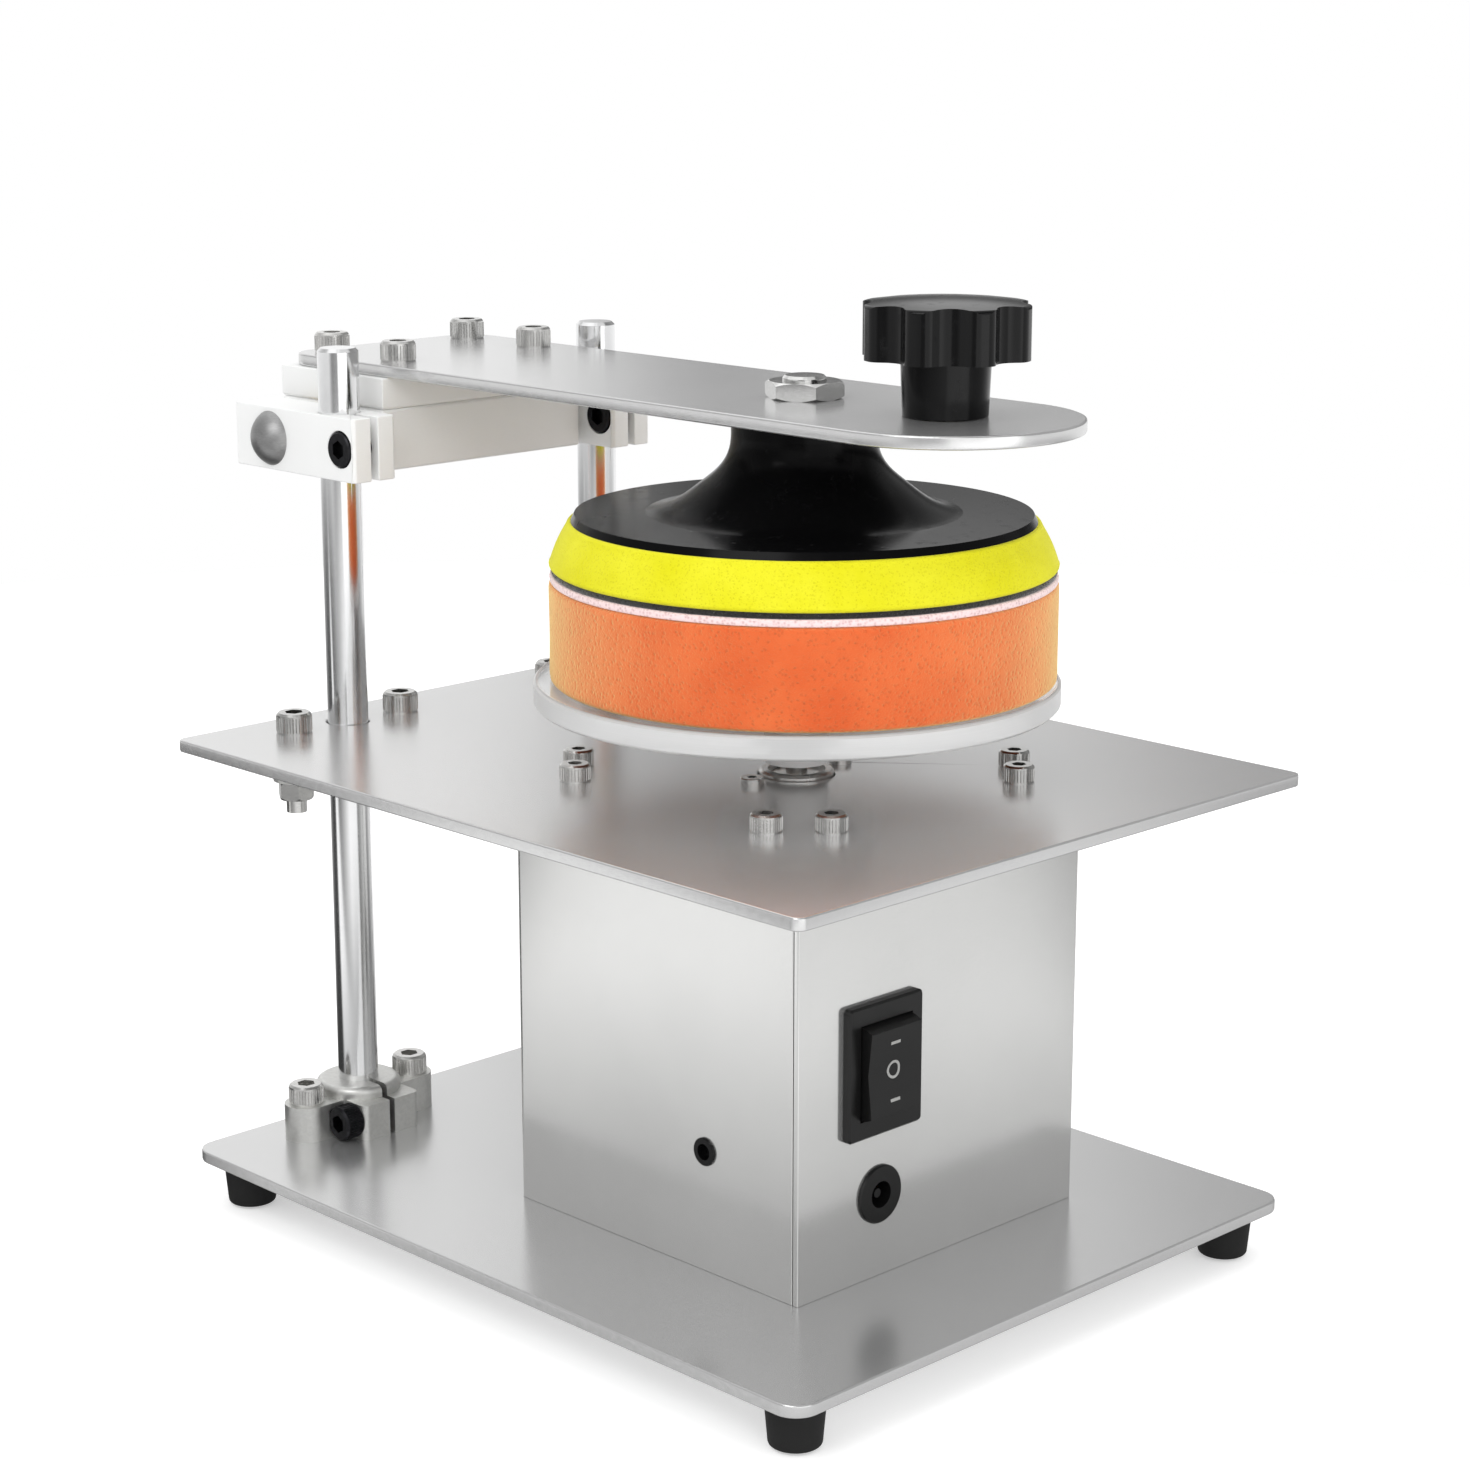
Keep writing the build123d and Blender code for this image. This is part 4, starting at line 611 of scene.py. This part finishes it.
# radius and height of the screw heads; the low head is an M5 screw's too
M4_HEAD, M5_HEAD, LOW_HEAD = (3.5 * MM, 4.0 * MM), (4.25 * MM, 5.0 * MM), (4.25 * MM, 3.5 * MM)
M4_RIBS, M5_RIBS = 30, 36
BELOW_TABLE = 0.05  # a height between the lower and the upper flanges' clamp screws
for node, (radius, tall), ribs in (
    ("table_screws", M4_HEAD, M4_RIBS), ("upper_flange_bolts", M5_HEAD, M5_RIBS),
    ("lower_flange_bolts", M5_HEAD, M5_RIBS), ("arm_screws", M5_HEAD, M5_RIBS),
):
    body = frame["nodes"][node]["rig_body"]
    knurl(node + "_knurl", head_seats(node, tall, "up"), UP, radius, tall, ribs, body, slot_of[node])
clamp_seats = head_seats("clamp_screws", LOW_HEAD[1], "left")
knurl("clamp_screws_knurl", clamp_seats, TO_LEFT, *LOW_HEAD, M5_RIBS, "carriage", "black_steel")
jaws_left = head_seats("flange_clamp_screws", M5_HEAD[1], "left")
jaws_right = head_seats("flange_clamp_screws", M5_HEAD[1], "right")
lower_jaws = [seat for seat in jaws_left if seat[2] < BELOW_TABLE]
upper_jaws = [seat for seat in jaws_right if seat[2] > BELOW_TABLE]
knurl("lower_jaw_knurl", lower_jaws, TO_LEFT, *M5_HEAD, M5_RIBS, "base", "black_steel")
knurl("upper_jaw_knurl", upper_jaws, TO_RIGHT, *M5_HEAD, M5_RIBS, "base", "black_steel")


# ---------------------------------------------------------------- marks on the rocker
def switch_marks():
    """A ring between two bars, printed a hair proud of the rocker's two sloping faces."""
    low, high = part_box("switch_rocker")
    middle = (low + high) / 2
    dip, slope = 1.1 * MM, 1.1 / 9.8  # the faces meet 1.1 mm deep, 9.8 mm from each tip
    proud_by, sunk_by = 0.07 * MM, 0.05 * MM
    bar_half, bar_thick = 1.5 * MM, 0.35 * MM
    points_round = 40
    bm = bmesh.new()

    def face_point(x, z, proud):
        y = low.y + dip - abs(z) * slope - proud
        return bm.verts.new((middle.x + x, y, middle.z + z))

    def raised(loop, inner=None):
        tops = [face_point(x, z, proud_by) for x, z in loop]
        feet = [face_point(x, z, -sunk_by) for x, z in loop]
        count = len(loop)
        for i in range(count):
            bm.faces.new((tops[i], tops[(i + 1) % count], feet[(i + 1) % count], feet[i]))
        if inner is None:
            bm.faces.new(tops)
            return
        hole = [face_point(x, z, proud_by) for x, z in inner]
        floor_ring = [face_point(x, z, -sunk_by) for x, z in inner]
        for i in range(count):
            j = (i + 1) % count
            bm.faces.new((tops[i], hole[i], hole[j], tops[j]))
            bm.faces.new((hole[i], floor_ring[i], floor_ring[j], hole[j]))

    def oval(across, tall):
        angles = [math.tau * i / points_round for i in range(points_round)]
        return [(across * math.cos(angle), tall * math.sin(angle)) for angle in angles]

    for height in (6.4 * MM, -6.9 * MM):
        raised([(-bar_half, height - bar_thick), (bar_half, height - bar_thick),
                (bar_half, height + bar_thick), (-bar_half, height + bar_thick)])
    raised(oval(2.1 * MM, 2.1 * MM), oval(1.45 * MM, 1.5 * MM))
    bmesh.ops.recalc_face_normals(bm, faces=bm.faces)
    mesh = bpy.data.meshes.new("switch_marks")
    bm.to_mesh(mesh)
    bm.free()
    return mesh


add_piece("switch_marks", switch_marks(), "rocker", mark_finish, crease=30.0)


# ---------------------------------------------------------------- soft layers of the head
FACE_RING = 0.6  # the share of the radius at which a flat face has a ring of points


def soft_round(node, profile, steps=224):
    """A layer's mesh, turned from its profile in the size of its CAD node, and its middle."""
    low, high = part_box(node)
    middle = (low + high) / 2
    return turned(node, profile(low.z, high.z, high.x - middle.x), middle, steps), middle


def sponge_profile(bottom, top, radius):
    """The sponge: rounded edges and a round recess in its underside."""
    rounded, recess, depth, lip = 1.6 * MM, 13.0 * MM, 9.0 * MM, 0.0008
    flank = ((radius, bottom + rounded), (radius, top - rounded))
    return [(0, bottom + depth), (recess * 0.5, bottom + depth), (recess - lip, bottom + depth),
            (recess, bottom + depth - lip), (recess, bottom + lip), (recess + lip, bottom),
            *between((recess, bottom), (radius - rounded, bottom), 8),
            *arc((radius - rounded, bottom + rounded), rounded, -90, 0, 6), *between(*flank, 26),
            *arc((radius - rounded, top - rounded), rounded, 0, 90, 6), (radius * FACE_RING, top), (0, top)]


def foam_profile(bottom, top, radius):
    """The yellow foam: its flank leans in towards the top and bulges a little."""
    rounded, lean, bulge, steps = 1.0 * MM, 4.0 * MM, 0.0004, 14
    upper = radius - lean
    first = arc((radius - rounded, bottom + rounded), rounded, -90, 15, 6)
    second = arc((upper - rounded, top - rounded), rounded, 20, 90, 6)
    crown = [(r + bulge * math.sin(math.pi * i / steps), z)
             for i, (r, z) in enumerate(between(first[-1], second[0], steps), 1)]
    return [(0, bottom), (radius * FACE_RING, bottom), *first, *crown, *second,
            (radius * FACE_RING, top), (0, top)]


def layer_profile(bottom, top, radius):
    """A thin flat layer with rounded edges."""
    rounded = (top - bottom) * 0.3
    return [(0, bottom), (radius * FACE_RING, bottom),
            *arc((radius - rounded, bottom + rounded), rounded, -90, 0, 4),
            *arc((radius - rounded, top - rounded), rounded, 0, 90, 4), (radius * FACE_RING, top), (0, top)]


sponge_mesh, middle = soft_round("polishing_sponge", sponge_profile)
low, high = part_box("polishing_sponge")
uneven(sponge_mesh, middle, size=0.009, reach=0.0003, low=low.z + MM, high=high.z - MM)
sponge = add_piece("sponge_pad", sponge_mesh, "polishing_head", finishes["orange_sponge"],
                   ("polishing_sponge",), crease=60.0)
foam_mesh, middle = soft_round("foam_layer", foam_profile)
low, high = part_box("foam_layer")
uneven(foam_mesh, middle, size=0.008, reach=0.00025, low=low.z + MM, high=high.z - MM)
foam = add_piece("foam_pad", foam_mesh, "polishing_head", finishes["yellow_foam"],
                 ("foam_layer",), crease=60.0)
for node, name, slot in (
    ("hook_layer", "hook_backing", "hook_fabric"), ("loop_layer", "loop_backing", "loop_fabric"),
):
    mesh, _ = soft_round(node, layer_profile, 192)
    layer = add_piece(name, mesh, "polishing_head", finishes[slot], (node,), crease=60.0)
    low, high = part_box(node)
for name, node, slot, count, size, wire, seed, lean in (
    ("hook_threads", "hook_layer", "hook_fabric", 1000, 0.00052, 0.0001, 11, 4.2),
    ("loop_threads", "loop_layer", "loop_fabric", 1100, 0.00028, 0.00005, 23, 5.2),
):
    threads = pile(name, node, count, size, wire, seed, finishes[slot], lean)
    add_piece(name, threads, "polishing_head", finishes[slot])

# ---------------------------------------------------------------- broken edges, by their width in metres
for node, width in (
    ("base_plate", 0.0005), ("table_plate", 0.0005), ("arm_plate", 0.0005), ("housing_wrap", 0.0002),
    ("front_panel", 0.0002), ("clamp_block_left", 0.0003), ("clamp_block_right", 0.0003),
    ("hinge_block", 0.0002), ("arm_spacer", 0.0003),
):
    eased(node, width)

# ---------------------------------------------------------------- studio
camera_data = bpy.data.cameras.new("camera")
camera_data.lens = 78.6
camera_data.sensor_width = 36.0
camera_data.clip_start = 0.01
camera = bpy.data.objects.new("camera", camera_data)
camera.location = (-0.5155, -0.5386, 0.3014)
camera_down, camera_turn = 13.55, -44.48  # degrees; solved from the photo, as its place and lens were
camera.rotation_euler = Euler((math.radians(90.0 - camera_down), 0.0, math.radians(camera_turn)))
scene.collection.objects.link(camera)
scene.camera = camera
scene.view_settings.view_transform = "Standard"


def lamp(name, place, aim, size, power):
    """A soft rectangular lamp; bright metal mirrors it, so it is large for its watts."""
    data = bpy.data.lights.new(name, "AREA")
    data.shape = "RECTANGLE"
    data.size, data.size_y = size
    data.energy = power
    obj = bpy.data.objects.new(name, data)
    obj.location = place
    obj.rotation_euler = (Vector(aim) - Vector(place)).to_track_quat("-Z", "Y").to_euler()
    scene.collection.objects.link(obj)


lamp("key_lamp", (-0.9, -0.25, 1.0), aim=(0, 0, 0.12), size=(0.7, 0.5), power=3.3)
lamp("front_lamp", (-0.30, -1.1, 0.38), aim=(0, 0, 0.12), size=(1.3, 0.95), power=4.2)
lamp("top_lamp", (0.15, 0.25, 1.3), aim=(0, 0, 0.1), size=(1.4, 1.4), power=3.6)

VIEW_EAST, VIEW_NORTH = 0.70, 0.713  # the camera's level direction, from which the studio was fitted


def studio_seen(board, where, cards=1.0):
    """How bright metal sees the studio, by direction.

    Below the horizon is the bench, pale with a dark card at each side, whose strength is cards. Above it is
    the ceiling, with upright bands, a dark corner low down, a shaded left side and a darker zenith. side runs
    to the camera's right, ahead towards the camera.
    """
    east, north, up = board.axes(where)
    side = east * VIEW_NORTH - north * VIEW_EAST
    ahead = 0.0 - east * VIEW_EAST - north * VIEW_NORTH
    left = (0.0 - side).over(0.1, 0.95) * 0.94
    right = side.over(0.68, 1.0) * 0.72
    bench = (1.0 - left * cards) * (1.0 - right * (cards * 0.65 + 0.35)) * 1.1
    shaded = 1.0 - (0.0 - side).over(0.35, 0.9) * 0.6
    bands = side.over(-0.08, -0.02) * 0.6 - side.over(0.005, 0.05) * 0.45 + side.over(0.095, 0.15) * 0.58
    corner = side.over(-0.06, 0.05) * (1.0 - up.over(0.15, 0.21)) * 0.8
    ceiling = (1.08 - bands - corner).most(0.12) * shaded - ahead.over(0.0, 0.5) * 0.2
    far_end = up.over(-0.165, -0.14)
    bench = bench + (1.0 - ahead.over(0.7, 0.9) * 0.9 - bench) * far_end
    ceiling = ceiling * (1.0 - up.over(0.4, 0.85) * 0.45)
    return bench + (ceiling - bench) * up.over(-0.05, 0.06)


world = bpy.data.worlds.new("studio")
world.use_nodes = True
scene.world = world
sky = Board(world.node_tree)
world.node_tree.nodes.clear()
seen, gloss, through = sky.outputs("ShaderNodeLightPath", *RAYS)
direction = sky.node("ShaderNodeTexCoord", output="Generated")
to_white = 5.0  # lifts even the darkest part past 1, where the camera looks or glass lets through
backdrop = studio_seen(sky, direction) + (seen + through).least(1.0) * to_white
light = sky.node("ShaderNodeBackground", {}, {"Color": WHITE, "Strength": 0.9})
shown = sky.node("ShaderNodeBackground", {}, {"Color": WHITE, "Strength": backdrop.least(1.0)})
chosen = sky.node("ShaderNodeMixShader", {}, {0: (seen + gloss + through).least(1.0), 1: light, 2: shown})
sky.node("ShaderNodeOutputWorld", {}, {0: chosen})


def floor_finish():
    """The studio floor: pale and shadowed for the camera; for bright metal it glows with a painted reflection
    of the studio, with painted shade near the machine.
    """
    f = Finish("studio_floor", Roughness=0.9, Specular_IOR_Level=0.0)
    speck = f.grain(f.place(), 12.0, 2.0)
    f.set("Base Color", f.tint(speck, (0.80, 0.80, 0.80), (0.82, 0.82, 0.82)))
    seen, gloss, through = f.outputs("ShaderNodeLightPath", *RAYS)
    f.set("Emission Color", WHITE)
    f.set("Emission Strength", (seen + through).least(1.0) * 0.42)
    spot = f.place()
    distance = f.node("ShaderNodeVectorMath", {"operation": "LENGTH"}, {0: spot}, "Value")
    from_rods = f.node("ShaderNodeVectorMath", {"operation": "SUBTRACT"}, {0: spot, 1: (0.0, 0.08, 0.0)})
    outward = f.node("ShaderNodeVectorMath", {"operation": "NORMALIZE"}, {0: from_rods})
    lowered = f.node("ShaderNodeVectorMath", {"operation": "ADD"}, {0: outward, 1: (0.0, 0.0, -0.3)})
    east, north, _ = f.axes(spot)
    across = east + north
    cards = 1.0 - across.over(-0.20, -0.15) * (1.0 - across.over(-0.015, 0.025))
    # painted shade: the glow is darker near the machine, standing in for its shadow on the bench
    near_shade = distance.over(0.10, 0.28) * 0.6 + 0.4
    glow = studio_seen(f, lowered, cards) * near_shade
    # painted reflection: the floor glows with this picture of the studio for glossy rays only
    painted_reflection = f.node("ShaderNodeEmission", {}, {"Color": WHITE, "Strength": glow})
    f.blend(gloss, painted_reflection)
    return f.material


FLOOR_LEVEL = -0.0006  # just below the feet
floor_mesh = turned("floor", [(radius, FLOOR_LEVEL) for radius in (0, 0.3, 0.55, 0.9)], (0, 0, 0), 96)
floor = bpy.data.objects.new("floor", floor_mesh)
floor_mesh.materials.append(floor_finish())
scene.collection.objects.link(floor)
